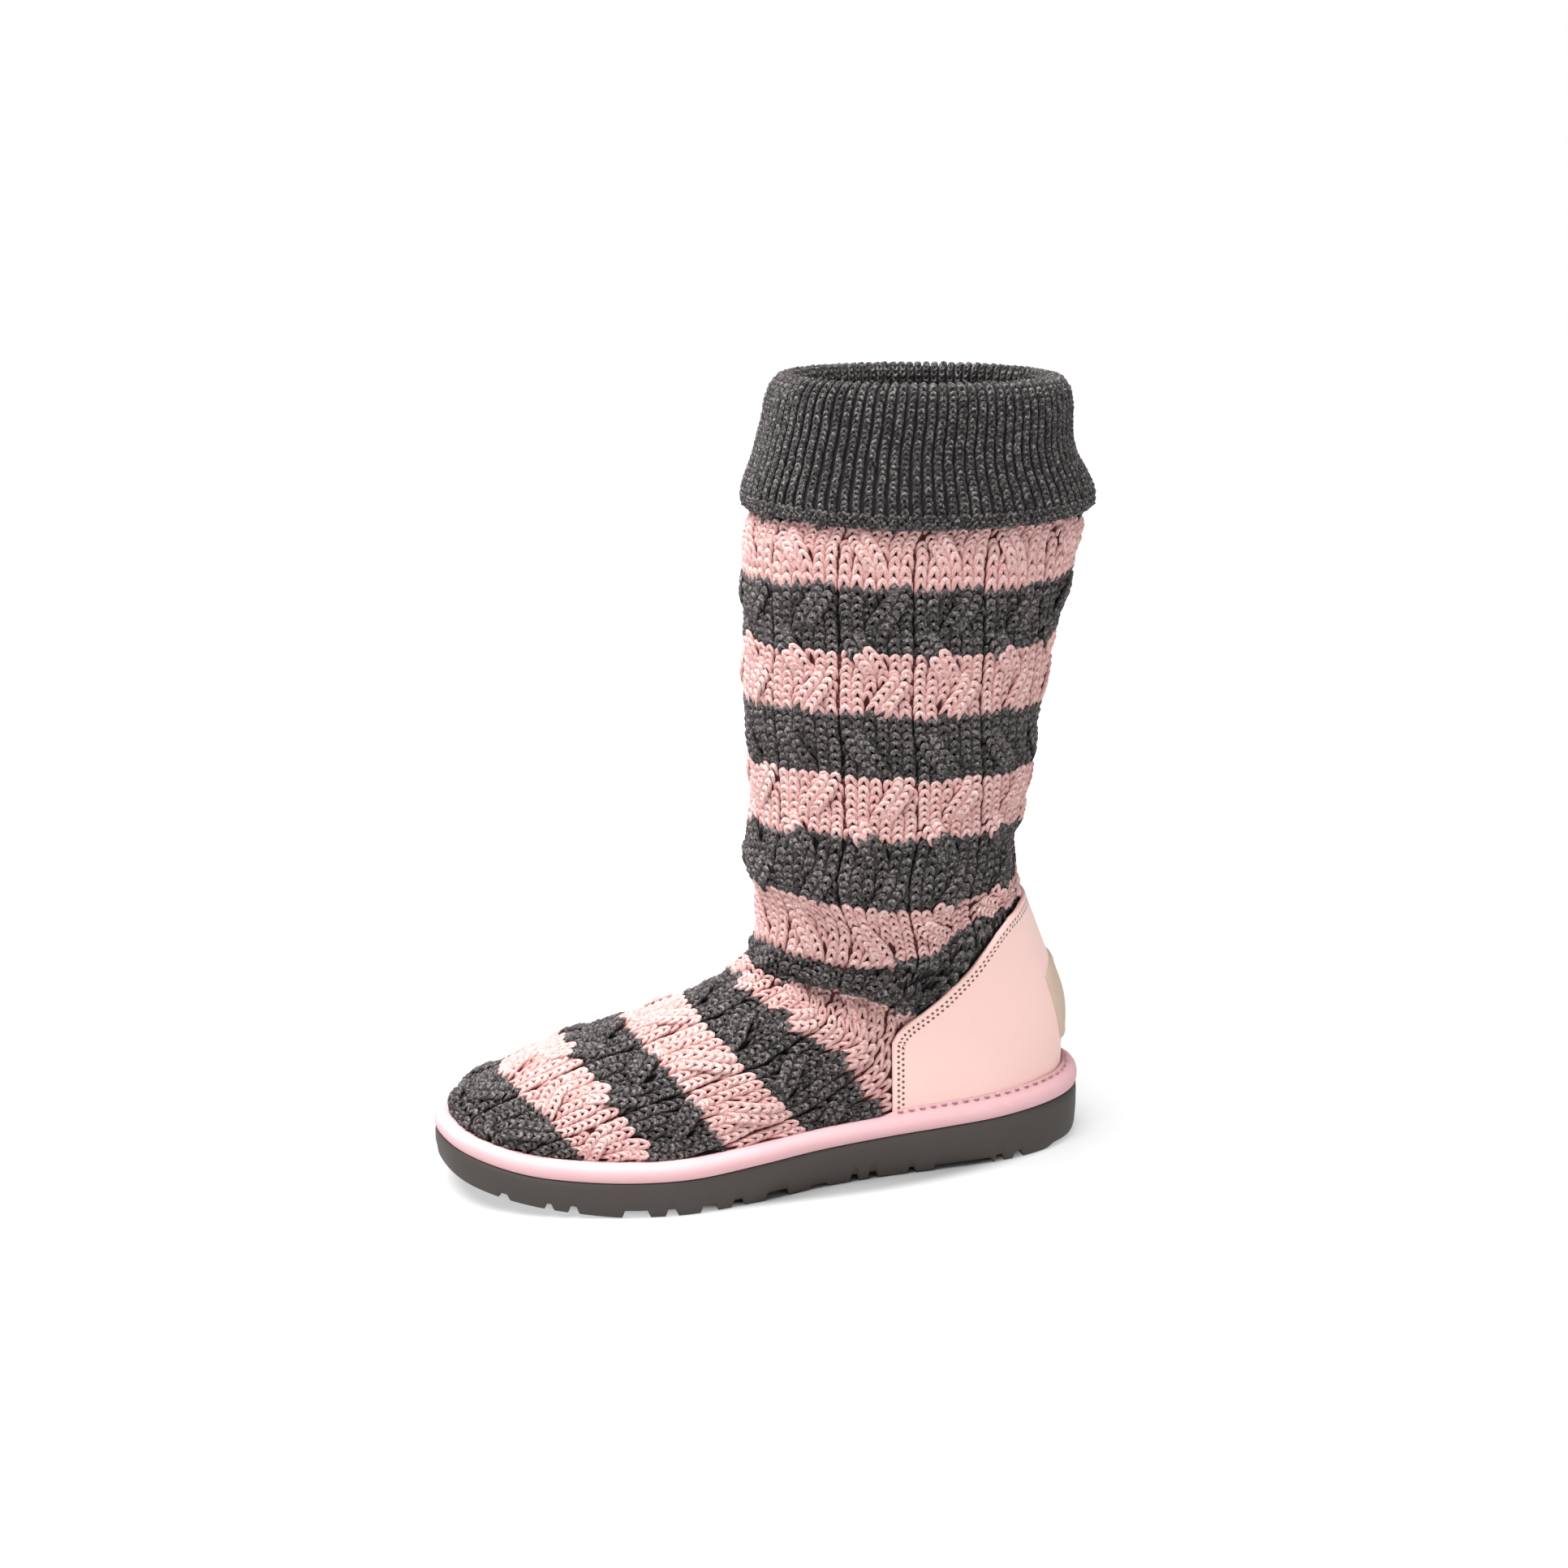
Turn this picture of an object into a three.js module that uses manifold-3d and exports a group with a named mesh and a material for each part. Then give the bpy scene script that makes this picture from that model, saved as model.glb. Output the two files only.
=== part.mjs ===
// Sweater boot, left foot, standing empty. Millimetres, +Z up, toe towards -Y, outer side towards +X.
import * as THREE from "three";
import Module from "manifold-3d";

// Driving dimensions
const LENGTH = 265; // sole, heel to toe
const WALL = 2.8; // knit wall with its lining
const GAP = 0.3; // air left between neighbouring parts
const FEATHER = 5.5; // upper set in from the sole outline
const RAND_HEIGHT = 7;
const SEAT_INSET = 1.8; // knit set in further under the heel counter
const LEG_TOP = 262; // top edge of the knit leg, inside the cuff
const CUFF_TOP = 312;
const CUFF_HEM = 257;
const CUFF_THICK = 9; // both layers of the folded rib
const LEATHER = 1.5;
const INSOLE_THICK = 4;
const LUG_DEPTH = 2.8;

// Sole outline: share of the length from the heel, half width outside, half width inside
const OUTLINE = [
  [0, 0, 0], [0.012, 13.3, 14], [0.04, 24, 24.5], [0.09, 32, 31.5], [0.16, 36.9, 35],
  [0.26, 38.2, 34], [0.36, 38.5, 31.5], [0.46, 41.1, 32], [0.56, 46.9, 36.5],
  [0.66, 50.4, 43], [0.73, 48.3, 46.4], [0.81, 42.7, 47.6], [0.88, 36.2, 45.2],
  [0.94, 26.8, 39.3], [0.975, 17.3, 28.6], [0.992, 7.4, 18], [1, -6.1, 6.1],
];
// Height of the outsole's top and of its tread above the ground, by share from the heel
const SOLE_TOP = [
  [0, 22.2], [0.06, 21.2], [0.12, 20.3], [0.2, 18.8], [0.28, 17.8], [0.36, 16.8], [0.45, 16],
  [0.55, 15.4], [0.66, 14.4], [0.74, 14.2], [0.79, 14.5], [0.84, 15.4], [0.89, 16.9],
  [0.95, 20.3], [0.98, 22.4], [1, 23.6],
];
const TREAD = [
  [0, 0], [0.74, 0], [0.77, 0.25], [0.8, 1], [0.835, 2.2], [0.87, 3.6], [0.906, 5.3],
  [0.94, 7.3], [0.963, 8.9], [0.987, 11.2], [1, 12.6],
];
// Grooves across the tread: from Y, to Y, depth
const GROOVES = [
  [-113, -109.6, 2], [-97.1, -94.2, 2.4], [-88.6, -85.1, 2.8], [-69, -59.1, 2.8], [-52.9, -48.6, 2.8],
  [-39.5, -33, 2.8], [-27, -22.3, 2.8], [-13.2, -3.4, 2.8], [5.7, 13.6, 1.4],
  [23, 26.8, 2.8], [30.6, 34.8, 2.8], [47.4, 50.8, 2.4], [58.3, 83.6, 2],
  [84.7, 88.6, 2.8], [93.1, 97.4, 2.8],
];
// Cut under the back of the heel, Y and Z
const HEEL_EDGE = [
  [109, -1], [140, -1], [140, 9], [132.4, 7], [130.6, 4], [127.6, 2.1], [123, 1.5], [114, 1.4],
  [109, 0],
];
// Rings of the upper: dorsal Y and Z, plantar Y and Z, share of the ring that widens, roundness,
// share of the leg's section in its width
const RINGS = [
  [-127, 24, -124, 12, 0.1, 2, 0], [-126.4, 31, -113, 12, 0.2, 2, 0],
  [-123.2, 37.9, -101, 12, 0.36, 2, 0], [-117.6, 42.6, -89, 12, 0.52, 2.05, 0],
  [-109, 46.1, -77, 12, 0.66, 2.1, 0], [-98, 49.6, -66, 11, 0.74, 2.1, 0],
  [-84.5, 54.4, -54, 10, 0.79, 2.1, 0], [-70, 58.4, -35, 10, 0.82, 2.1, 0],
  [-54, 62.4, -16, 10, 0.83, 2.1, 0], [-37, 68, 7, 10, 0.84, 2.1, 0.05],
  [-24, 72.5, 26, 10, 0.84, 2.1, 0.15], [-14.5, 77.7, 46, 10, 0.82, 2.1, 0.3],
  [-8.2, 83.1, 68, 10, 0.8, 2.1, 0.45], [-5.1, 89.4, 90, 10, 0.77, 2.1, 0.6],
  [-3.2, 95.5, 110, 10, 0.73, 2.1, 0.75], [-2.5, 100.5, 124, 12, 0.7, 2.1, 0.88],
  [-2.4, 105, 124.2, 34, 0.66, 2.1, 0.95], [-3, 109.5, 123.6, 57, 0.61, 2.1, 1],
  [-4.6, 114, 117.6, 73, 0.57, 2.1, 1], [-6.4, 119, 110.4, 90, 0.53, 2.1, 1],
  [-7, 125, 104.6, 104, 0.51, 2.1, 1], [-6.2, 132, 100.6, 117, 0.5, 2.1, 1],
  [-4.8, 140, 100.2, 130, 0.5, 2.1, 1], [-4.4, 148, 103.2, 141, 0.5, 2.1, 1],
  [-4.6, 156, 105.6, 151, 0.5, 2.1, 1], [-5.2, 166, 107.2, 162, 0.5, 2.1, 1],
  [-6.2, 177, 108, 173, 0.5, 2.1, 1], [-7, 189, 110, 185, 0.5, 2.15, 1],
  [-6.8, 202, 112, 199, 0.5, 2.2, 1], [-6.6, 214, 115, 212, 0.5, 2.2, 1],
  [-7, 226, 118, 225, 0.5, 2.2, 1], [-7.2, 238, 121.4, 237, 0.5, 2.2, 1],
  [-7, 249, 124, 249, 0.5, 2.2, 1], [-4.8, 255.5, 124.6, 255.5, 0.5, 2.2, 1],
  [-3, 262, 124, 262, 0.5, 2.2, 1],
];
// Half width of heel, ankle and leg by height, and the back line by height
const LEG_WIDTH = [
  [20, 33], [50, 36], [80, 40], [100, 43.5], [120, 44], [140, 44.5], [160, 45], [190, 45.5],
  [225, 46.5], [250, 47.5], [262, 46],
];
const BACK_LINE = [
  [10, 124], [34, 124.2], [57, 123.6], [73, 117.6], [90, 110.4], [104, 104.6], [117, 100.6],
  [130, 100.2], [141, 103.2], [151, 105.6], [162, 107.2], [173, 108], [185, 110], [199, 112],
  [212, 115], [225, 118], [237, 121.4], [249, 124], [262, 124],
];
// Slouch folds on both sides: polyline in Y and Z, reach, height
const FOLDS = [
  [[[-14, 97], [0, 91.5], [20, 84], [38, 79], [47, 79]], 6, 3.6],
  [[[-10, 84.5], [8, 78.5], [26, 71], [40, 66]], 4.5, -2.6],
  [[[-16, 77], [0, 69], [12, 64], [26, 58]], 5.5, 1.8],
  [[[-10, 113], [14, 104], [38, 97], [58, 99], [78, 107]], 6, -1.8],
  [[[56, 90], [74, 97], [90, 104]], 7, 1.6],
  [[[-8, 128], [20, 122], [50, 118], [80, 122]], 8, 1.4],
];
// Cuff outer face: Y front, Y back, half width, by height
const CUFF_FACE = [
  [257, -7, 128.6, 50.5], [263, -7, 128, 50.6], [270, -5.2, 124.9, 49.6],
  [277, -2.8, 121.2, 48.6], [285, -1, 118.8, 48], [295, 1.4, 118, 47.6],
  [304, 3, 117.6, 47.2], [312, 5.2, 116.4, 46.6],
];
// Counter edge on the side of the heel, Y and Z
const COUNTER = [
  [42, 5], [42.5, 44], [43, 53], [45, 57.5], [49, 61], [54, 65], [60, 70.5], [66, 77.5],
  [72, 84.5], [77, 91.5], [82, 97.5], [88, 102], [96, 104.5], [106, 105.5], [145, 105.5], [145, 5],
];
// Patch on the back of the heel, X and Z
const LABEL = [
  [-20, 43], [-9, 40.2], [0, 39.4], [9, 40.2], [20, 43], [18.6, 69.5], [12, 73.5], [0, 75.4],
  [-12, 73.5], [-18.6, 69.5],
];

const wasm = await Module();
wasm.setup();
const { Manifold, CrossSection } = wasm;
const clamp = (x, a = 0, b = 1) => Math.min(b, Math.max(a, x));
const mix = (a, b, t) => a + (b - a) * t;
const smoothstep = (a, b, x) => {
  const t = clamp((x - a) / (b - a));
  return t * t * (3 - 2 * t);
};

// Smooth curve through a table; its first column is the parameter.
function through(table, column) {
  const n = table.length, x = table.map((r) => r[0]), y = table.map((r) => r[column]);
  const step = (i) => (y[i + 1] - y[i]) / (x[i + 1] - x[i]);
  const slope = y.map((_, i) => {
    if (i === 0) return step(0);
    if (i === n - 1) return step(n - 2);
    const a = x[i] - x[i - 1], b = x[i + 1] - x[i];
    return (a * step(i) + b * step(i - 1)) / (a + b);
  });
  return (v) => {
    v = clamp(v, x[0], x[n - 1]);
    let i = 0;
    while (i < n - 2 && v > x[i + 1]) i++;
    const h = x[i + 1] - x[i], t = (v - x[i]) / h, t2 = t * t, t3 = t2 * t;
    return (2 * t3 - 3 * t2 + 1) * y[i] + (t3 - 2 * t2 + t) * h * slope[i]
      + (3 * t2 - 2 * t3) * y[i + 1] + (t3 - t2) * h * slope[i + 1];
  };
}

// Sole outline as a dense closed loop, counter-clockwise from the heel, and its insets
function outlineLoop(count) {
  const side = (column, sign) => OUTLINE.map((r) => [sign * r[column], LENGTH * (0.5 - r[0])]);
  const loop = [...side(2, -1), ...side(1, 1).reverse().slice(1)];
  loop.push(loop[1]);
  loop.unshift(loop[loop.length - 3]);
  let t = 0;
  const table = loop.map((p, i) => {
    if (i) t += Math.sqrt(Math.hypot(p[0] - loop[i - 1][0], p[1] - loop[i - 1][1]));
    return [t, ...p];
  });
  const fx = through(table, 1), fy = through(table, 2);
  const from = table[1][0], to = table[table.length - 2][0];
  return Array.from({ length: count }, (_, i) => {
    const v = mix(from, to, i / count);
    return [fx(v), fy(v)];
  });
}
function inset(loop, d) {
  const n = loop.length;
  return loop.map((p, i) => {
    const a = loop[(i + n - 1) % n], b = loop[(i + 1) % n];
    const dx = b[0] - a[0], dy = b[1] - a[1], l = Math.hypot(dx, dy);
    return [p[0] - (dy / l) * d, p[1] + (dx / l) * d];
  });
}
const DENSE = outlineLoop(480);
const shareOf = (y) => clamp(0.5 - y / LENGTH);
const topByShare = through(SOLE_TOP, 1), treadByShare = through(TREAD, 1);
const soleTop = (y) => topByShare(shareOf(y));
const lift = (y) => Math.max(0, treadByShare(shareOf(y)));

// Half width of the feather line on one side, measured from the crest line
const crestX = (y) => -6.1 * clamp((shareOf(y) - 0.7) / 0.3) ** 1.5;
const FEATHER_LINE = inset(DENSE, FEATHER);
function sideTable(sign) {
  const ys = FEATHER_LINE.map((p) => p[1]);
  const low = ys.indexOf(Math.min(...ys)), high = ys.indexOf(Math.max(...ys));
  const rows = [];
  for (let i = high; ; i = (i - sign + ys.length) % ys.length) {
    rows.push([-FEATHER_LINE[i][1], sign * FEATHER_LINE[i][0]]);
    if (i === low) break;
  }
  return rows;
}
const SIDES = { 1: sideTable(1), [-1]: sideTable(-1) };
function planWidth(sign, y) {
  const rows = SIDES[sign], v = clamp(-y, rows[0][0], rows[rows.length - 1][0]);
  let i = 0;
  while (i < rows.length - 2 && v > rows[i + 1][0]) i++;
  const [a, b] = [rows[i], rows[i + 1]];
  return Math.max(0, mix(a[1], b[1], (v - a[0]) / (b[0] - a[0] || 1)) - sign * crestX(y));
}

// The upper's outer face: rings along the boot, points around each ring
const ringCurves = RINGS[0].map((_, c) => through(RINGS.map((r, i) => [i, ...r]), c + 1));
const legWidth = through(LEG_WIDTH, 1), backLine = through(BACK_LINE, 1);
function foldHeight(y, z) {
  let sum = 0;
  for (const [line, reach, height] of FOLDS) {
    let best = 1e9;
    for (let i = 0; i < line.length - 1; i++) {
      const [ay, az] = line[i], by = line[i + 1][0] - ay, bz = line[i + 1][1] - az;
      const t = clamp(((y - ay) * by + (z - az) * bz) / (by * by + bz * bz));
      best = Math.min(best, Math.hypot(y - ay - t * by, z - az - t * bz));
    }
    sum += height * Math.exp(-((best / reach) ** 2));
  }
  return sum;
}
function halfRing(s, sign) {
  const [dy, dz, py, pz, widen, round, leg] = ringCurves.map((f) => f(s));
  const points = [], steps = 48;
  for (let i = 0; i <= steps; i++) {
    const v = (1 - Math.cos((Math.PI * i) / steps)) / 2, y = mix(dy, py, v), z = mix(dz, pz, v);
    const g = (1 - (1 - Math.min(1, v / widen)) ** round) ** (1 / round);
    const back = backLine(z), depth = Math.max(0, back - y), half = (back - dy) / 2;
    const e = (1 - (1 - Math.min(1, depth / half)) ** round) ** (1 / round);
    const foot = planWidth(sign, y + (126.9 - back) * leg) - SEAT_INSET * smoothstep(30, 44, y);
    const width = mix(foot, legWidth(z) * e, leg * smoothstep(30, 105, z));
    const w = g * width + foldHeight(y, z) * g * Math.min(1, width / 30);
    points.push([crestX(y) + sign * Math.max(0, w), y, z]);
  }
  points[0][0] = crestX(dy);
  points.push([crestX(py), py, pz]);
  return points;
}
function resample(points, count) {
  const at = [0];
  for (let i = 1; i < points.length; i++) {
    const [p, q] = [points[i - 1], points[i]];
    at.push(at[i - 1] + Math.hypot(p[0] - q[0], p[1] - q[1], p[2] - q[2]));
  }
  return Array.from({ length: count + 1 }, (_, k) => {
    const want = (at[at.length - 1] * k) / count;
    let i = 1;
    while (i < at.length - 1 && at[i] < want) i++;
    const t = (want - at[i - 1]) / (at[i] - at[i - 1] || 1);
    return points[i].map((c, j) => mix(points[i - 1][j], c, t));
  });
}
function ring(s, around) {
  const out = resample(halfRing(s, 1), around / 2), back = resample(halfRing(s, -1), around / 2);
  return [...out, ...back.slice(1, -1).reverse()];
}

// A closed solid through rings of equal size, its ends closed with fans
function solidFrom(vertices, triangles) {
  const mesh = new wasm.Mesh({
    numProp: 3,
    vertProperties: new Float32Array(vertices.flat()),
    triVerts: new Uint32Array(triangles.flat()),
  });
  const solid = new Manifold(mesh);
  if (solid.volume() >= 0) return solid;
  return solidFrom(vertices, triangles.map(([a, b, c]) => [a, c, b]));
}
function wallTriangles(rows, around, closed) {
  const list = [];
  for (let r = 0; r < (closed ? rows : rows - 1); r++)
    for (let k = 0; k < around; k++) {
      const a = r * around + k, b = r * around + ((k + 1) % around);
      const c = ((r + 1) % rows) * around + k, d = ((r + 1) % rows) * around + ((k + 1) % around);
      list.push([a, b, d], [a, d, c]);
    }
  return list;
}
function loft(rings) {
  const around = rings[0].length, vertices = rings.flat();
  const triangles = wallTriangles(rings.length, around, false);
  for (const [r, flip] of [[0, true], [rings.length - 1, false]]) {
    const centre = [0, 1, 2].map((j) => rings[r].reduce((t, p) => t + p[j], 0) / around);
    vertices.push(centre);
    const c = vertices.length - 1;
    for (let k = 0; k < around; k++) {
      const a = r * around + k, b = r * around + ((k + 1) % around);
      triangles.push(flip ? [a, c, b] : [a, b, c]);
    }
  }
  return solidFrom(vertices, triangles);
}
function moved(rings, d) {
  const around = rings[0].length, flat = rings.flat();
  const geometry = new THREE.BufferGeometry();
  geometry.setAttribute("position", new THREE.Float32BufferAttribute(flat.flat(), 3));
  geometry.setIndex(wallTriangles(rings.length, around, false).flat());
  geometry.computeVertexNormals();
  const n = geometry.attributes.normal, mid = Math.floor(rings.length / 2) * around;
  const sign = n.getX(mid + Math.floor(around / 4)) > 0 ? d : -d;
  return rings.map((r, i) => r.map((p, k) => {
    const j = i * around + k;
    return [p[0] + sign * n.getX(j), p[1] + sign * n.getY(j), p[2] + sign * n.getZ(j)];
  }));
}
function formRings(list, around) {
  return list.map((s) => ring(s, around));
}
const stepsTo = (a, b, n) => Array.from({ length: n }, (_, i) => mix(a, b, i / (n - 1)));
const TOP_RING = RINGS.length - 1;
const FINE = [...stepsTo(0, 22, 29), ...stepsTo(23, 32, 8), 33, 34];
const COARSE = [...stepsTo(0.6, 20, 16), ...stepsTo(22, 32, 6), 33, 34];
const outerRings = formRings(FINE, 34);
const lifted = (rings, z) => [...rings, rings[rings.length - 1].map(([x, y]) => [x, y, z])];

const box = (x, y0, y1, z0, z1) =>
  Manifold.cube([2 * x, y1 - y0, z1 - z0]).translate([-x, y0, z0]);
// Everything under a height that follows the sole, wider than the boot
function below(height) {
  const ys = stepsTo(150, -150, 51), rows = [];
  for (const y of ys) rows.push([[-90, y, -30], [90, y, -30], [90, y, height(y)], [-90, y, height(y)]]);
  return loft(rows);
}

// Outsole: rings of the outline up its side, then grooves, arch and heel edge cut from below
const SOLE_LOOP = outlineLoop(68);
const SOLE_SIDE = [
  [3.4, 0, -3], [0.9, 0, 1.2], [0.2, 0.35, 0], [0, 0.6, 0], [0.3, 0.94, 0], [0.9, 1, 9],
];
function sole() {
  const rows = SOLE_SIDE.map(([d, share, extra]) => inset(SOLE_LOOP, d).map(([x, y]) =>
    [x, y, mix(lift(y), soleTop(y), share) + extra]));
  const around = SOLE_LOOP.length, vertices = rows.flat();
  const triangles = wallTriangles(rows.length, around, false);
  const flat = SOLE_LOOP.map((p) => new THREE.Vector2(...p));
  const last = (rows.length - 1) * around;
  for (const [a, b, c] of THREE.ShapeUtils.triangulateShape(flat, []))
    triangles.push([a, c, b], [last + a, last + b, last + c]);
  let solid = solidFrom(vertices, triangles).intersect(below(soleTop)).subtract(below(lift));
  for (const [from, to, depth] of GROOVES) {
    const mid = (from + to) / 2, z = lift(mid);
    solid = solid.subtract(box(70, from, to, -20, z + depth));
  }
  return solid.subtract(acrossX(HEEL_EDGE));
}
// A flat outline in Y and Z carried across the boot along X
function acrossX(outline) {
  return new CrossSection([outline], "EvenOdd").extrude(200).transform([0, 1, 0, 0, 0, 0, 1, 0, 1, 0, 0, 0, -100, 0, 0, 1]);
}

// Upper: outer form less inner form, trimmed to stand on the outsole
const outerSolid = loft(outerRings);
const innerRings = moved(formRings(COARSE, 28), -WALL);
const innerSolid = loft(lifted(innerRings, LEG_TOP + 20));
const underUpper = below((y) => soleTop(y) + GAP);
const upper = outerSolid.subtract(innerSolid).subtract(underUpper);

// Rand: a rounded band round the foot of the upper
const RAND_LOOP = outlineLoop(64);
const RAND_SECTION = [
  [9, -0.4], [0.4, -0.4], [0, 0.3], [0.2, 0.64], [1.2, 0.88], [2.8, 1], [9, 1],
];
function rand() {
  const rows = RAND_SECTION.map(([d, share]) => inset(RAND_LOOP, d).map(([x, y]) =>
    [x, y, soleTop(y) + GAP + share * (RAND_HEIGHT - GAP)]));
  const around = RAND_LOOP.length;
  const band = solidFrom(rows.flat(), wallTriangles(rows.length, around, true));
  return band.subtract(loft(moved(outerRings, GAP))).subtract(underUpper);
}

// Insole: a plate inside the upper
function insole() {
  const loop = inset(outlineLoop(56), FEATHER + WALL + 0.6);
  const block = new CrossSection([loop], "EvenOdd").extrude(60);
  const inside = loft(moved(formRings(COARSE, 28), -WALL - GAP));
  return block.intersect(inside).subtract(underUpper).intersect(below((y) => soleTop(y) + GAP + INSOLE_THICK));
}

// Cuff: the folded rib, its inner layer on the leg's top edge and its outer layer over the leg
const cuffCurves = [1, 2, 3].map((c) => through(CUFF_FACE, c));
function cuffRing(z, d, around) {
  const [front, back, half] = cuffCurves.map((f) => f(z));
  const n = 2 / 2.2, out = [];
  for (let k = 0; k < around; k++) {
    const a = (2 * Math.PI * k) / around, c = Math.cos(a), s = Math.sin(a);
    const ry = (back - front) / 2 - d, rx = half - d;
    out.push([
      rx * Math.sign(s) * Math.abs(s) ** n, (front + back) / 2 - ry * Math.sign(c) * Math.abs(c) ** n, z,
    ]);
  }
  return out;
}
function cuff() {
  const layer = CUFF_THICK / 2 - 0.2, step = LEG_TOP + GAP, top = CUFF_TOP;
  const section = [
    [CUFF_HEM, 0.8], [CUFF_HEM + 1.2, 0], [CUFF_HEM + 9, 0], [CUFF_HEM + 19, 0], [top - 22, 0], [top - 5.5, 0],
    [top - 1.8, 1.1], [top, 3.4], [top, 5.6], [top - 1.8, 7.9], [top - 5.5, CUFF_THICK],
    [top - 27, CUFF_THICK], [step, CUFF_THICK], [step, layer], [CUFF_HEM, layer],
  ];
  const rows = section.map(([z, d]) => cuffRing(z, d, 44));
  const band = solidFrom(rows.flat(), wallTriangles(rows.length, 44, true));
  return band.subtract(loft(moved(outerRings.slice(-6), GAP)));
}

// Heel counter and the plain patch on its back
const randTop = (y) => soleTop(y) + RAND_HEIGHT + GAP;
const shell = (from, to) => loft(moved(outerRings, to)).subtract(loft(moved(outerRings, from)));
function heelCounter() {
  const region = acrossX(COUNTER);
  return shell(GAP, GAP + LEATHER).intersect(region).subtract(below(randTop));
}
function heelLabel() {
  const region = new CrossSection([LABEL], "EvenOdd").extrude(90).rotate([90, 0, 0]);
  return shell(2 * GAP + LEATHER, 2 * GAP + LEATHER + 1.2).intersect(region.translate([0, 160, 0]));
}

const COLOURS = {
  outsole: 0x453d3a, rand: 0xf0bcc4, insole: 0xe8d8cc, upper: 0xdf9fa0, cuff: 0x4a4648,
  heel_counter: 0xf0c9bd, heel_label: 0xd8c3a6,
};
const boot = new THREE.Group();
const solids = {
  outsole: sole(), rand: rand(), insole: insole(), upper, cuff: cuff(),
  heel_counter: heelCounter(), heel_label: heelLabel(),
};
for (const [name, solid] of Object.entries(solids)) {
  const { vertProperties, triVerts, numProp } = solid.getMesh();
  const position = new Float32Array((vertProperties.length / numProp) * 3);
  for (let i = 0; i < position.length / 3; i++)
    position.set(vertProperties.subarray(i * numProp, i * numProp + 3), 3 * i);
  const geometry = new THREE.BufferGeometry();
  geometry.setAttribute("position", new THREE.BufferAttribute(position, 3));
  geometry.setIndex(new THREE.BufferAttribute(triVerts, 1));
  const look = { color: COLOURS[name], roughness: name === "outsole" ? 0.7 : 0.9 };
  const mesh = new THREE.Mesh(geometry, new THREE.MeshStandardMaterial(look));
  mesh.name = name;
  boot.add(mesh);
}

export default boot;
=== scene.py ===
"""Sweater boot, left foot: the dressed model. Built in millimetres, stored in metres."""
import math

import bpy
import numpy as np
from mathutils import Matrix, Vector


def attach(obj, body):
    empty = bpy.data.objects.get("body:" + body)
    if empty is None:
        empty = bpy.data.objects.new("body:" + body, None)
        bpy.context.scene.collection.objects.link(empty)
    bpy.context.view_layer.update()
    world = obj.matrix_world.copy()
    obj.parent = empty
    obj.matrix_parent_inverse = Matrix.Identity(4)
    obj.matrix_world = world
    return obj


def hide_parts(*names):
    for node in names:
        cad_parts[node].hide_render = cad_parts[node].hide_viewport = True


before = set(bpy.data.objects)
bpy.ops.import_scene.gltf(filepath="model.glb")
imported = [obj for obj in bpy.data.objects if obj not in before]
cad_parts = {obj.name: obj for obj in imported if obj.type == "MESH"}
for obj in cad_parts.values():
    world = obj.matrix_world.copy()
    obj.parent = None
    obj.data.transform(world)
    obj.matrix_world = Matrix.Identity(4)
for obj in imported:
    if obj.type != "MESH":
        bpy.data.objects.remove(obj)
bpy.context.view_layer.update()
rng = np.random.default_rng(7)

# Shape tables, the same as the solids'
LENGTH, FEATHER, SEAT_INSET, RAND_HEIGHT = 265.0, 5.5, 1.8, 7.0
OUTLINE = np.array([
    [0, 0, 0], [0.012, 13.3, 14], [0.04, 24, 24.5], [0.09, 32, 31.5], [0.16, 36.9, 35],
    [0.26, 38.2, 34], [0.36, 38.5, 31.5], [0.46, 41.1, 32], [0.56, 46.9, 36.5],
    [0.66, 50.4, 43], [0.73, 48.3, 46.4], [0.81, 42.7, 47.6], [0.88, 36.2, 45.2],
    [0.94, 26.8, 39.3], [0.975, 17.3, 28.6], [0.992, 7.4, 18], [1, -6.1, 6.1]])
SOLE_TOP = np.array([
    [0, 22.2], [0.06, 21.2], [0.12, 20.3], [0.2, 18.8], [0.28, 17.8], [0.36, 16.8], [0.45, 16],
    [0.55, 15.4], [0.66, 14.4], [0.74, 14.2], [0.79, 14.5], [0.84, 15.4], [0.89, 16.9],
    [0.95, 20.3], [0.98, 22.4], [1, 23.6]])
TREAD = np.array([
    [0, 0], [0.74, 0], [0.77, 0.25], [0.8, 1], [0.835, 2.2], [0.87, 3.6], [0.906, 5.3],
    [0.94, 7.3], [0.963, 8.9], [0.987, 11.2], [1, 12.6]])
GROOVES = [
    [-113, -109.6, 2], [-97.1, -94.2, 2.4], [-88.6, -85.1, 2.8], [-69, -59.1, 2.8],
    [-52.9, -48.6, 2.8], [-39.5, -33, 2.8], [-27, -22.3, 2.8], [-13.2, -3.4, 2.8],
    [5.7, 13.6, 1.4], [23, 26.8, 2.8], [30.6, 34.8, 2.8], [47.4, 50.8, 2.4],
    [58.3, 83.6, 2], [84.7, 88.6, 2.8], [93.1, 97.4, 2.8]]
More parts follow.
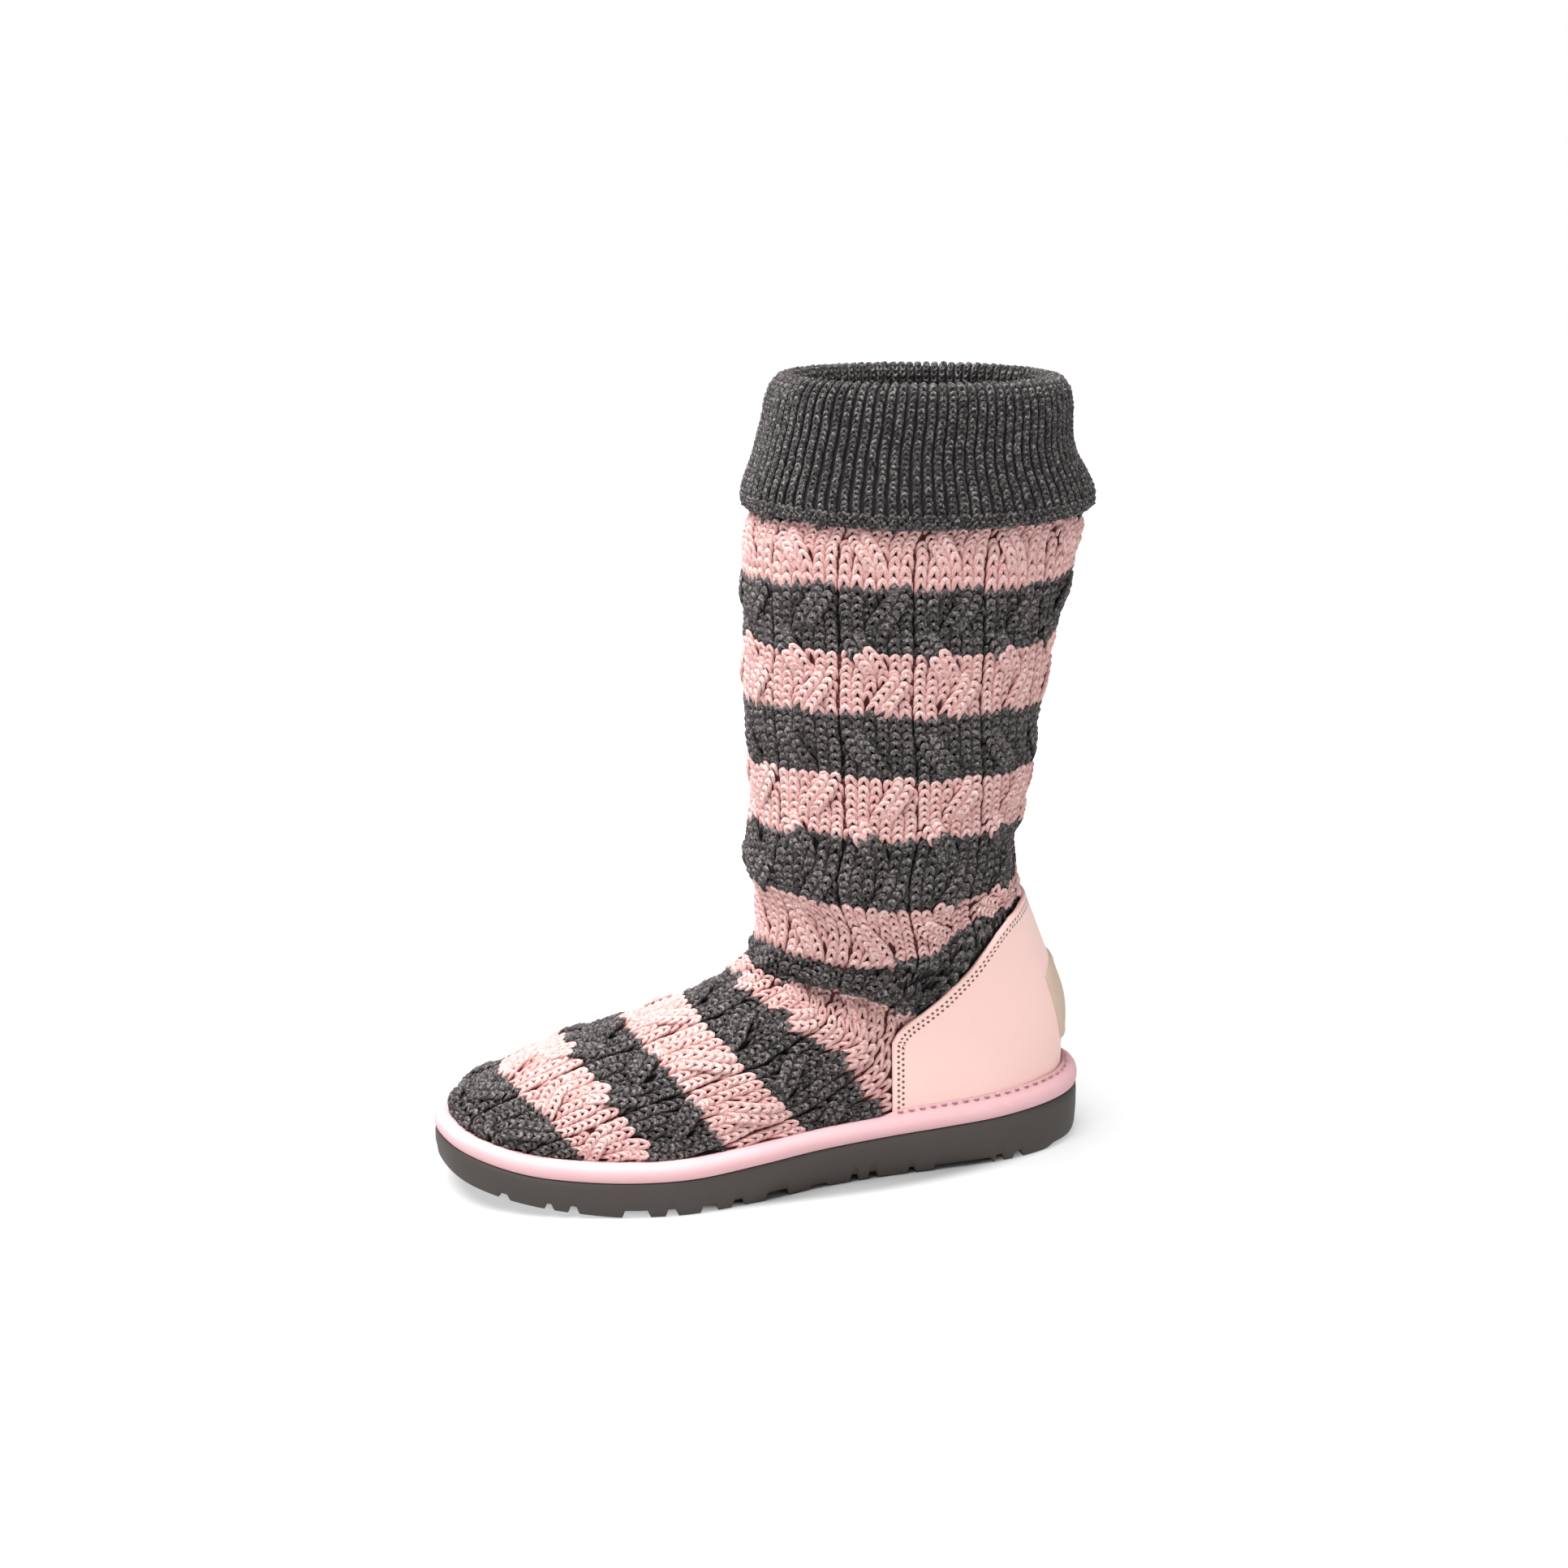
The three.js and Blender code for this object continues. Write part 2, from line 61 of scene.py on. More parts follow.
# Rings of the upper: crest point, end point (Y and Z each), widening; then rounding and leg share
RINGS = np.array([
    [-127, 24, -124, 12, 0.1], [-126.4, 31, -113, 12, 0.2], [-123.2, 37.9, -101, 12, 0.36],
    [-117.6, 42.6, -89, 12, 0.52], [-109, 46.1, -77, 12, 0.66], [-98, 49.6, -66, 11, 0.74],
    [-84.5, 54.4, -54, 10, 0.79], [-70, 58.4, -35, 10, 0.82], [-54, 62.4, -16, 10, 0.83],
    [-37, 68, 7, 10, 0.84], [-24, 72.5, 26, 10, 0.84], [-14.5, 77.7, 46, 10, 0.82],
    [-8.2, 83.1, 68, 10, 0.8], [-5.1, 89.4, 90, 10, 0.77], [-3.2, 95.5, 110, 10, 0.73],
    [-2.5, 100.5, 124, 12, 0.7], [-2.4, 105, 124.2, 34, 0.66], [-3, 109.5, 123.6, 57, 0.61],
    [-4.6, 114, 117.6, 73, 0.57], [-6.4, 119, 110.4, 90, 0.53], [-7, 125, 104.6, 104, 0.51],
    [-6.2, 132, 100.6, 117, 0.5], [-4.8, 140, 100.2, 130, 0.5], [-4.4, 148, 103.2, 141, 0.5],
    [-4.6, 156, 105.6, 151, 0.5], [-5.2, 166, 107.2, 162, 0.5], [-6.2, 177, 108, 173, 0.5],
    [-7, 189, 110, 185, 0.5], [-6.8, 202, 112, 199, 0.5], [-6.6, 214, 115, 212, 0.5],
    [-7, 226, 118, 225, 0.5], [-7.2, 238, 121.4, 237, 0.5], [-7, 249, 124, 249, 0.5],
    [-4.8, 255.5, 124.6, 255.5, 0.5], [-3, 262, 124, 262, 0.5]])
ROUNDING = 3 * [2] + [2.05] + 23 * [2.1] + [2.15] + 7 * [2.2]
LEG_SHARE = 9 * [0] + [0.05, 0.15, 0.3, 0.45, 0.6, 0.75, 0.88, 0.95] + 18 * [1]
RINGS = np.column_stack([RINGS, ROUNDING, LEG_SHARE])
LEG_WIDTH = np.array([
    [20, 33], [50, 36], [80, 40], [100, 43.5], [120, 44], [140, 44.5], [160, 45], [190, 45.5],
    [225, 46.5], [250, 47.5], [262, 46]])
BACK_LINE = np.vstack([[10, 124], RINGS[[*range(16, 33), 34]][:, [3, 2]]])  # height, Y
CUFF_FACE = np.array([
    [257, -7, 128.6, 50.5], [263, -7, 128, 50.6], [270, -5.2, 124.9, 49.6],
    [277, -2.8, 121.2, 48.6], [285, -1, 118.8, 48], [295, 1.4, 118, 47.6],
    [304, 3, 117.6, 47.2], [312, 5.2, 116.4, 46.6]])
# Slouch folds on both sides: polyline in Y and Z, reach, height
FOLDS = [
    ([[-14, 97], [0, 91.5], [20, 84], [38, 79], [47, 79]], 6, 3.6),
    ([[-10, 84.5], [8, 78.5], [26, 71], [40, 66]], 4.5, -2.6),
    ([[-16, 77], [0, 69], [12, 64], [26, 58]], 5.5, 1.8),
    ([[-10, 113], [14, 104], [38, 97], [58, 99], [78, 107]], 6, -1.8),
    ([[56, 90], [74, 97], [90, 104]], 7, 1.6),
    ([[-8, 128], [20, 122], [50, 118], [80, 122]], 8, 1.4)]
# Creases placed where the photograph shows them: the ankle's grey roll with a line above
# it and one below, the curl at the instep's top, the rise and dip on the instep
CREASES = [
    ([[-9, 88], [2.7, 84.4], [12, 82], [23, 79.3], [33, 76.2], [43, 73]], 3.6, 3.6),
    ([[-9, 93.5], [-2.8, 90.8], [6, 88.3], [17, 85.8], [29, 84.2], [41, 83.8]], 2.3, -4.6),
    ([[41, 83.8], [53, 83.5], [64, 81.5]], 1.7, -3.2),
    ([[-11, 81], [-0.7, 77.8], [10, 75.3]], 3.2, -4.6),
    ([[10, 75.3], [22.4, 72.6], [31.5, 70.5]], 2.3, -3.4),
    ([[-6.5, 78.3], [-8.8, 76.4], [-12, 73.2]], 2.6, 2.6),
    ([[-1, 75.4], [-6.3, 71], [-12, 70.2]], 1.9, -3.4),
    ([[-19, 69.6], [-10, 65.4], [-2, 60.3]], 4, 2.1),
    ([[-18, 57.6], [-1.2, 53.1]], 3, -1.8),
    ([[84, 111], [92, 112], [98, 113]], 4.5, 1.8)]
COUNTER_EDGE = np.array([
    [42, 5], [42.5, 44], [43, 53], [45, 57.5], [49, 61], [54, 65], [60, 70.5], [66, 77.5],
    [72, 84.5], [77, 91.5], [82, 97.5], [88, 102], [96, 104.5], [106, 105.5]])
# Stripe edges: course number, then the ring at t = 0, 20, 40 ... mm round from the crest
STRIPE_T = np.array([0, 20, 40, 60, 80, 100, 120, 145, 180.0])
STRIPE_EDGES = np.array([
    [-3] + 9 * [34.0], [0] + 9 * [33.3],
    [8, 30.55, 30.55, 30.65, 30.58, 30.55, 30.45, 30.4, 30.65, 30.7],
    [16, 28.7, 28.6, 28.7, 28.68, 28.6, 28.55, 28.65, 28.8, 28.9],
    [24, 26.65, 26.85, 26.87, 26.9, 26.78, 26.82, 26.85, 26.78, 26.8],
    [32, 24.45, 24.75, 24.78, 24.72, 24.66, 24.64, 24.6, 24.65, 24.7],
    [40, 21.65, 21.8, 22.2, 22.05, 22.25, 22.3, 22.5, 22.6, 22.6],
    [48, 17.8, 18.5, 18.75, 19.05, 19.4, 20.0, 20.35, 20.7, 20.8],
    [56, 12.9, 13.45, 14.65, 15.95, 17.55, 19.05, 19.8, 20.1, 20.2],
    [64, 11.6, 12.2, 13.3, 14.3, 14.7, 14.9, 15.1, 15.3, 15.5],
    [72, 10.85, 10.95, 11.15, 11.32, 11.05, 10.6] + 3 * [10.4],
    [80, 9.1, 9.08, 9.15, 9.25] + 5 * [9.3],
    [88, 7.6, 7.7, 7.83, 7.78, 7.65] + 4 * [7.6],
    [96, 6.1, 6.22, 6.26, 6.2, 6.05] + 4 * [6.0],
    [104, 3.95, 4.25, 4.4, 4.1] + 5 * [3.9],
    [112, 2.0, 2.1, 2.2, 2.1] + 5 * [2.0],
    [118, 0.3, 0.4, 0.4] + 6 * [0.3]])


def through(x, y):
    """Smooth curve through the points x, y."""
    h = np.diff(x)
    d = np.diff(y) / h
    m = np.concatenate([[d[0]], (h[:-1] * d[1:] + h[1:] * d[:-1]) / (h[:-1] + h[1:]), [d[-1]]])

    def curve(v):
        v = np.clip(np.asarray(v, float), x[0], x[-1])
        i = np.clip(np.searchsorted(x, v, side="right") - 1, 0, len(x) - 2)
        t = (v - x[i]) / h[i]
        return ((2 * t**3 - 3 * t**2 + 1) * y[i] + (t**3 - 2 * t**2 + t) * h[i] * m[i]
                + (3 * t**2 - 2 * t**3) * y[i + 1] + (t**3 - t**2) * h[i] * m[i + 1])
    return curve


def smoothstep(a, b, x):
    t = np.clip((x - a) / (b - a), 0, 1)
    return t * t * (3 - 2 * t)


def unit(v):
    return v / (np.linalg.norm(v, axis=-1, keepdims=True) + 1e-12)


def run_along(points):
    """Length along a line of points, up to each of them."""
    return np.concatenate([[0], np.cumsum(np.linalg.norm(np.diff(points, axis=0), axis=1))])


def sheet_normals(p):
    """Unit normals of a grid of points."""
    return unit(np.cross(np.gradient(p, axis=1), np.gradient(p, axis=0)))


def between(grid, row, col):
    """A grid's values at fractional rows and columns."""
    i = np.clip(row.astype(int), 0, grid.shape[0] - 2)
    j = np.clip(col.astype(int), 0, grid.shape[1] - 2)
    a, b = row - i, col - j
    if grid.ndim == 3:
        a, b = a[..., None], b[..., None]
    return ((grid[i, j] * (1 - b) + grid[i, j + 1] * b) * (1 - a)
            + (grid[i + 1, j] * (1 - b) + grid[i + 1, j + 1] * b) * a)


def outline_loop(count):
    """The sole's outline, counter-clockwise from the heel."""
    y = LENGTH * (0.5 - OUTLINE[:, 0])
    loop = np.concatenate([np.stack([-OUTLINE[:, 2], y], 1), np.stack([OUTLINE[:, 1], y], 1)[::-1][1:]])
    loop = np.concatenate([loop[-2:-1], loop, loop[1:2]])
    step = np.sqrt(np.linalg.norm(np.diff(loop, axis=0), axis=1))
    t = np.concatenate([[0], np.cumsum(step)])
    v = t[1] + (t[-2] - t[1]) * np.arange(count) / count
    return np.column_stack([through(t, loop[:, k])(v) for k in (0, 1)])


def inset(loop, d):
    t = unit(np.roll(loop, -1, 0) - np.roll(loop, 1, 0))
    return loop + np.column_stack([-t[:, 1], t[:, 0]]) * np.reshape(d, (-1, 1))


def share(y):
    return np.clip(0.5 - np.asarray(y, float) / LENGTH, 0, 1)


top_by_share, tread_by_share = through(*SOLE_TOP.T), through(*TREAD.T)


def sole_top(y):
    return top_by_share(share(y))


def lift(y):
    return np.maximum(0, tread_by_share(share(y)))


def crest_x(y):
    return -6.1 * np.clip((share(y) - 0.7) / 0.3, 0, 1) ** 1.5


FEATHER_LINE = inset(outline_loop(480), FEATHER)


def half_loop(loop, step):
    """A loop's points from its heel end to its toe end, going one way round."""
    low, high = loop[:, 1].argmin(), loop[:, 1].argmax()
    index = [high]
    while index[-1] != low:
        index.append((index[-1] + step) % len(loop))
    return loop[index]


def side_table(sign):
    side = half_loop(FEATHER_LINE, -sign)
    return -side[:, 1], sign * side[:, 0]


SIDE = {1: side_table(1), -1: side_table(-1)}
RING = [through(np.arange(len(RINGS)), column) for column in RINGS.T]
leg_width, back_line = through(*LEG_WIDTH.T), through(*BACK_LINE.T)


def polyline_distance(y, z, line):
    best = np.full(np.shape(y), 1e9)
    for (ay, az), (by, bz) in zip(line[:-1], line[1:]):
        dy, dz = by - ay, bz - az
        t = np.clip(((y - ay) * dy + (z - az) * dz) / (dy * dy + dz * dz), 0, 1)
        best = np.minimum(best, np.hypot(y - ay - t * dy, z - az - t * dz))
    return best


def counter_depth(y, z):
    """How far inside the heel counter's edge a point lies, less than 0 outside it."""
    top = np.interp(y, COUNTER_EDGE[2:, 0], COUNTER_EDGE[2:, 1])
    deep = polyline_distance(y, z, np.vstack([COUNTER_EDGE, [[130, 105.5]]]).tolist())
    return np.where((y > 42.2) & (z < top), deep, -deep)


def fold_height(y, z):
    """Height of the folds; the finer creases stop short of the leather."""
    broad, fine = (sum(h * np.exp(-(polyline_distance(y, z, line) / reach) ** 2)
                       for line, reach, h in table) for table in (FOLDS, CREASES))
    return broad + fine * smoothstep(1.5, 6, -counter_depth(y, z))


def half_width(s, v, y, z, sign):
    """The upper's reach to one side of its crest plane, at ring s and share v along the ring."""
    front, widen, rounding, leg = (RING[c](s) for c in (0, 4, 5, 6))
    g = (1 - (1 - np.minimum(1, v / widen)) ** rounding) ** (1 / rounding)
    back = back_line(z)
    depth = np.maximum(0, back - y)
    e = (1 - (1 - np.minimum(1, depth / ((back - front) / 2))) ** rounding) ** (1 / rounding)
    yy = y + (126.9 - back) * leg
    plan = np.maximum(0, np.interp(-yy, *SIDE[sign]) - sign * crest_x(yy))
    foot = plan - SEAT_INSET * smoothstep(30, 44, y)
    width = foot + (leg_width(z) * e - foot) * leg * smoothstep(30, 105, z)
    return np.maximum(0, g * width + fold_height(y, z) * g * np.minimum(1, width / 30))


S_MAX = len(RINGS) - 1
SS = np.linspace(0, S_MAX, 681)
NU = 201
BACK_RING = 16  # the rings above it end at the back of the leg
LEG_RING = 18  # the stitches above it run on round the back


def build_grid():
    """Points and normals over the upper: rows are rings, columns run round from the inner end."""
    halves, lengths = {}, {}
    for sign in (1, -1):
        v = (1 - np.cos(np.pi * np.arange(97) / 96))[None] / 2
        s = SS[:, None]
        end = np.where(s > BACK_RING, back_line(RING[3](s)), RING[2](s))
        y = RING[0](s) + (end - RING[0](s)) * v
        z = RING[1](s) + (RING[3](s) - RING[1](s)) * v
        x = crest_x(y) + sign * half_width(s, v, y, z, sign)
        p = np.stack([x, y, z], -1)
        run = np.cumsum(np.linalg.norm(np.diff(p, axis=1), axis=2), 1)
        run = np.concatenate([np.zeros((len(SS), 1)), run], 1)
        lengths[sign] = run[:, -1]
        half = np.empty((len(SS), NU, 3))
        for i in range(len(SS)):
            q = np.linspace(0, run[i, -1], NU)
            for k in range(3):
                half[i, :, k] = np.interp(q, run[i], p[i, :, k])
        halves[sign] = half
    full = np.concatenate([halves[-1][:, ::-1], halves[1][:, 1:]], 1)
    for _ in range(2):  # ease the crest line
        m = NU - 1
        full[:, m] = (full[:, m - 1] + 2 * full[:, m] + full[:, m + 1]) / 4
    # over the toes the knit settles lower than the solid
    above = full[..., 2] - sole_top(full[..., 1])
    full[..., 2] -= 2.6 * smoothstep(7.5, 2.5, SS)[:, None] * smoothstep(8, 24, above)
    n = sheet_normals(full)
    # up the leg both ends meet at the back: they share one normal there
    meet = np.linalg.norm(full[:, 0] - full[:, -1], axis=1) < 0.5
    n[meet, 0] = n[meet, -1] = unit((n[meet, 0] + n[meet, -1]) * [0, 1, 1])
    return full, n, lengths


GRID, NORMAL, LENGTHS = build_grid()


def reach_at(s, t):
    """Length of ring s from the crest to its end, on the side where t lies."""
    return np.where(t >= 0, np.interp(s, SS, LENGTHS[1]), np.interp(s, SS, LENGTHS[-1]))


def surface(s, t):
    """Point and outward normal at ring s, t mm round from the crest, the outer side positive."""
    s = np.clip(s, 0, S_MAX)
    u = np.clip(t / reach_at(s, t), -1, 1)
    row, col = s / S_MAX * (len(SS) - 1), (u + 1) * (NU - 1)
    return between(GRID, row, col), unit(between(NORMAL, row, col))


def ring_at(y, z):
    """The ring through a point of the middle plane, and how far along it."""
    lo, hi = np.zeros(np.shape(y)), np.full(np.shape(y), float(S_MAX))
    for _ in range(34):
        s = (lo + hi) / 2
        dy, dz, py, pz = (RING[c](s) for c in range(4))
        above = (py - dy) * (z - dz) - (pz - dz) * (y - dy) > 0
        lo, hi = np.where(above, s, lo), np.where(above, hi, s)
    s = (lo + hi) / 2
    dy, dz, py, pz = (RING[c](s) for c in range(4))
    v = ((y - dy) * (py - dy) + (z - dz) * (pz - dz)) / ((py - dy) ** 2 + (pz - dz) ** 2)
    return s, np.clip(v, 0, 1)


def side_x(y, z, sign):
    s, v = ring_at(y, z)
    return crest_x(y) + sign * half_width(s, v, y, z, sign)


# Meshes
def add_object(name, data):
    ob = bpy.data.objects.new(name, data)
    bpy.context.scene.collection.objects.link(ob)
    return ob


def add_mesh(name, verts, faces, material, smooth=True, uvs=None, face_material=None):
    """One mesh from vertices in millimetres and an array of faces, all of one size."""
    faces = np.asarray(faces, np.int32)
    count, size = faces.shape
    me = bpy.data.meshes.new(name)
    me.vertices.add(len(verts))
    me.vertices.foreach_set("co", (np.asarray(verts, float) / 1000).ravel())
    me.loops.add(count * size)
    me.loops.foreach_set("vertex_index", faces.ravel())
    me.polygons.add(count)
    me.polygons.foreach_set("loop_start", np.arange(0, count * size, size, dtype=np.int32))
    me.polygons.foreach_set("loop_total", np.full(count, size, np.int32))
    me.polygons.foreach_set("use_smooth", np.full(count, smooth))
    for m in material if isinstance(material, list) else [material]:
        me.materials.append(m)
    if face_material is not None:
        me.polygons.foreach_set("material_index", np.asarray(face_material, np.int32))
    for layer, uv in (uvs or {}).items():
        me.uv_layers.new(name=layer).data.foreach_set("uv", np.asarray(uv, float)[faces.ravel()].ravel())
    me.update(calc_edges=True)
    me.validate()
    return add_object(name, me)


def grid_faces(rows, cols, wrap_rows=False, wrap_cols=False, start=0):
    r = np.arange(rows if wrap_rows else rows - 1)[:, None]
    c = np.arange(cols if wrap_cols else cols - 1)[None]
    r2, c2 = (r + 1) % rows, (c + 1) % cols
    f = np.stack([r * cols + c, r * cols + c2, r2 * cols + c2, r2 * cols + c], -1)
    return f.reshape(-1, 4) + start


def outward(ob):
    """Turns a closed mesh's faces outwards."""
    me = ob.data
    me.calc_loop_triangles()
    co = np.empty(len(me.vertices) * 3)
    me.vertices.foreach_get("co", co)
    co = co.reshape(-1, 3)
    tri = np.empty(len(me.loop_triangles) * 3, np.int32)
    me.loop_triangles.foreach_get("vertices", tri)
    a, b, c = (co[tri.reshape(-1, 3)[:, k]] for k in range(3))
    if np.einsum("ij,ij->i", a, np.cross(b, c)).sum() < 0:
        me.flip_normals()
    return ob


def dress(ob, slot, *nodes):
    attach(ob, "root")
    if nodes:
        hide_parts(*nodes)
    return ob


# Materials
class Nodes:
    """Short names for building one material's nodes."""

    def __init__(self, name):
        self.material = bpy.data.materials.new(name)
        self.material.use_nodes = True
        self.tree = self.material.node_tree
        self.tree.nodes.clear()
        self.out = self.tree.nodes.new("ShaderNodeOutputMaterial")
        self.shader = self.tree.nodes.new("ShaderNodeBsdfPrincipled")
        self.tree.links.new(self.shader.outputs[0], self.out.inputs[0])
        self.where = self.node("TexCoord").outputs["Object"]

    def node(self, kind, links=None, **values):
        n = self.tree.nodes.new("ShaderNode" + kind)
        for key, value in values.items():
            if hasattr(n, key):
                setattr(n, key, value)
            else:
                n.inputs[key.replace("_", " ")].default_value = value
        for key, source in (links or {}).items():
            self.tree.links.new(source, n.inputs[key])
        return n

    def feed(self, socket, value):
        """Gives a socket a number or a colour, or links it."""
        if isinstance(value, tuple):
            socket.default_value = (*value, 1)
        elif isinstance(value, (int, float)):
            socket.default_value = value
        elif value is not None:
            self.tree.links.new(value, socket)

    def math(self, operation, a, b=None, c=None, clamp=False):
        n = self.node("Math", operation=operation, use_clamp=clamp)
        for socket, value in zip(n.inputs, (a, b, c)):
            self.feed(socket, value)
        return n.outputs[0]

    def times(self, a, b, clamp=False):
        return self.math("MULTIPLY", a, b, clamp=clamp)

    def rest(self, a, clamp=False):
        """1 - a"""
        return self.math("SUBTRACT", 1.0, a, clamp=clamp)

    def mix(self, factor, a, b):
        n = self.node("Mix", data_type="RGBA")
        for k, value in ((0, factor), (6, a), (7, b)):
            self.feed(n.inputs[k], value)
        return n.outputs[2]

    def ramp(self, source, *stops):
        """Grey levels between two stops, each a place and a level."""
        n = self.node("ValToRGB", {"Fac": source})
        for e, (at, grey) in zip(n.color_ramp.elements, stops):
            e.position, e.color = at, (grey, grey, grey, 1)
        return n.outputs[0]

    def noise(self, scale, detail=3.0, roughness=0.55):
        return self.node("TexNoise", {"Vector": self.where}, Scale=scale, Detail=detail,
                         Roughness=roughness).outputs[0]

    def uv(self, layer):
        return self.node("UVMap", uv_map=layer).outputs[0]

    def bump(self, height, strength, distance, normal=None):
        links = {"Height": height}
        if normal is not None:
            links["Normal"] = normal
        return self.node("Bump", links, Strength=strength, Distance=distance).outputs[0]

    def finish(self, colour, roughness, normal=None, **sockets):
        for key, value in (("Base Color", colour), ("Roughness", roughness), ("Normal", normal)):
            self.feed(self.shader.inputs[key], value)
        for key, value in sockets.items():
            self.shader.inputs[key.replace("_", " ")].default_value = value
        return self.material


def yarn(name, deep, body, light, flecks, tone_highlight_share, ply=26.0, sheen=0.2, shine=0.4):
    """Plied wool: twisted strands along each stitch, heathered; painted highlight where it stands proud,
    painted shade at its sunk feet and between the strands.
    """
    m = Nodes(name)
    # deep is the dark heather tone and the painted shade colour; light is the fleck colour and the painted
    # highlight colour. The second map is each point's height in its stitch times a painted shading factor
    split, random_and_shade = (m.node("SeparateXYZ", {"Vector": m.uv(layer)}) for layer in ("along", "chance_and_shade"))
    turn = m.math("ADD", m.times(split.outputs[0], ply), m.times(split.outputs[1], 2.0))
    wobble = m.times(m.noise(900, 2), 0.6)
    strands = m.math("SINE", m.times(m.math("ADD", turn, wobble), 2 * math.pi))
    strands = m.math("MULTIPLY_ADD", strands, 0.5, 0.5)
    fibre = m.noise(2600, 4, 0.7)
    cloud = m.noise(160, 2)
    proud = m.ramp(random_and_shade.outputs[1], (0.3, 0.0), (0.98, 1.0))
    # painted highlight: the body is mixed towards the light colour by the yarn's height, over a random tone
    # from stitch to stitch
    tone_and_highlight = m.math("ADD", m.times(random_and_shade.outputs[0], 0.35), m.times(cloud, 0.5))
    tone_and_highlight = m.times(m.times(tone_and_highlight, proud), tone_highlight_share, clamp=True)
    # painted highlight on each stitch's crown
    crown = m.ramp(random_and_shade.outputs[1], (0.8, 0.0), (1.0, 1.0))
    tone_and_highlight = m.math("MULTIPLY_ADD", crown, 0.16, tone_and_highlight, clamp=True)
    colour = m.mix(tone_and_highlight, body, light)
    # painted shade in the grooves between the twisted strands
    colour = m.mix(m.times(m.rest(strands), 0.3), colour, deep)
    # heather flecks in the light colour, kept to the proud parts: partly real flecks, partly painted
    # highlight
    fleck = m.ramp(m.noise(820, 3, 0.6), (0.5, 0.0), (0.62, 1.0))
    colour = m.mix(m.times(m.times(fleck, proud), flecks), colour, light)
    dark = m.ramp(m.noise(1700, 2, 0.5), (0.38, 1.0), (0.5, 0.0))
    colour = m.mix(m.times(dark, 0.4), colour, deep)
    # painted shade where the yarn sinks: the stitch's feet and the stitches pressed down beside a cable
    colour = m.mix(m.ramp(random_and_shade.outputs[1], (0.26, 0.92), (0.66, 0.0)), colour, deep)
    normal = m.bump(fibre, 0.35, 0.0003, m.bump(strands, 0.5, 0.0004))
    haze = tuple(min(1.0, 2.2 * c) for c in light)
    return m.finish(colour, 0.72, normal, Sheen_Weight=sheen, Sheen_Roughness=0.4,
                    Sheen_Tint=(*haze, 1), Specular_IOR_Level=shine)


def cloth(name, colour, dark, scale=1400, bump=0.6, sheen=0.3):
    m = Nodes(name)
    n = m.noise(scale, 4, 0.65)
    c = m.mix(m.times(m.noise(60, 2), 0.3), m.mix(n, dark, colour), dark)
    return m.finish(c, 0.92, m.bump(n, bump, 0.0006), Sheen_Weight=sheen, Sheen_Roughness=0.5)


HOLE_PITCH, HOLE_RADIUS = 2.35, 0.74


def leather(name, colour, warm, worn):
    """Smooth pale leather, fine grain, a double row of needle holes beside its edge, each painted dark as
    painted shade.
    """
    m = Nodes(name)
    cells = m.node("TexVoronoi", {"Vector": m.where}, Scale=620.0, feature="DISTANCE_TO_EDGE").outputs[0]
    grain = m.ramp(cells, (0.0, 0.0), (0.25, 1.0))
    c = m.mix(m.times(m.noise(38, 4, 0.6), 0.7), colour, warm)
    c = m.mix(m.times(m.noise(9, 2), 0.35), c, worn)
    c = m.mix(m.times(m.rest(grain), 0.12), c, warm)
    uv = m.node("SeparateXYZ", {"Vector": m.uv("edge")})
    along, depth = uv.outputs[0], uv.outputs[1]
    rows = []
    for row, shift in ((2.3, 0.0), (4.2, 0.5)):
        a = m.math("FRACT", m.math("ADD", m.math("DIVIDE", along, HOLE_PITCH), shift))
        a = m.times(m.math("SUBTRACT", a, 0.5), HOLE_PITCH)
        d = m.math("SUBTRACT", depth, row)
        r = m.math("SQRT", m.math("ADD", m.times(a, a), m.times(d, d)))
        rows.append(m.rest(m.math("DIVIDE", r, HOLE_RADIUS), clamp=True))
    holes = m.math("MAXIMUM", *rows)
    # painted shade: each needle hole is painted near black
    c = m.mix(m.times(holes, 2.2, clamp=True), c, (0.13, 0.06, 0.045))
    rim = m.rest(m.math("DIVIDE", depth, 0.7), clamp=True)
    c = m.mix(m.times(rim, 0.45), c, warm)
    normal = m.bump(m.rest(holes), 0.8, 0.0006, m.bump(grain, 0.1, 0.0002))
    return m.finish(c, 0.5, normal, Specular_IOR_Level=0.4)


def suede(name, colour, dark):
    m = Nodes(name)
    nap, cloud = m.noise(1700, 4, 0.7), m.noise(70, 3)
    c = m.mix(m.times(cloud, 0.7), colour, dark)
    c = m.mix(m.times(m.ramp(nap, (0.35, 1.0), (0.6, 0.0)), 0.25), c, dark)
    return m.finish(c, 0.85, m.bump(nap, 0.35, 0.0003), Sheen_Weight=0.12, Sheen_Roughness=0.4,
                    Sheen_Tint=(*colour, 1))


def foam_rubber(name, colour, pale):
    m = Nodes(name)
    speckle, cloud = m.noise(2300, 3, 0.6), m.noise(55, 3)
    c = m.mix(m.times(cloud, 0.8), colour, pale)
    c = m.mix(m.times(m.ramp(speckle, (0.55, 0.0), (0.75, 1.0)), 0.25), c, pale)
    rough = m.math("MULTIPLY_ADD", cloud, 0.25, 0.5)
    return m.finish(c, rough, m.bump(speckle, 0.18, 0.0003), Specular_IOR_Level=0.4)


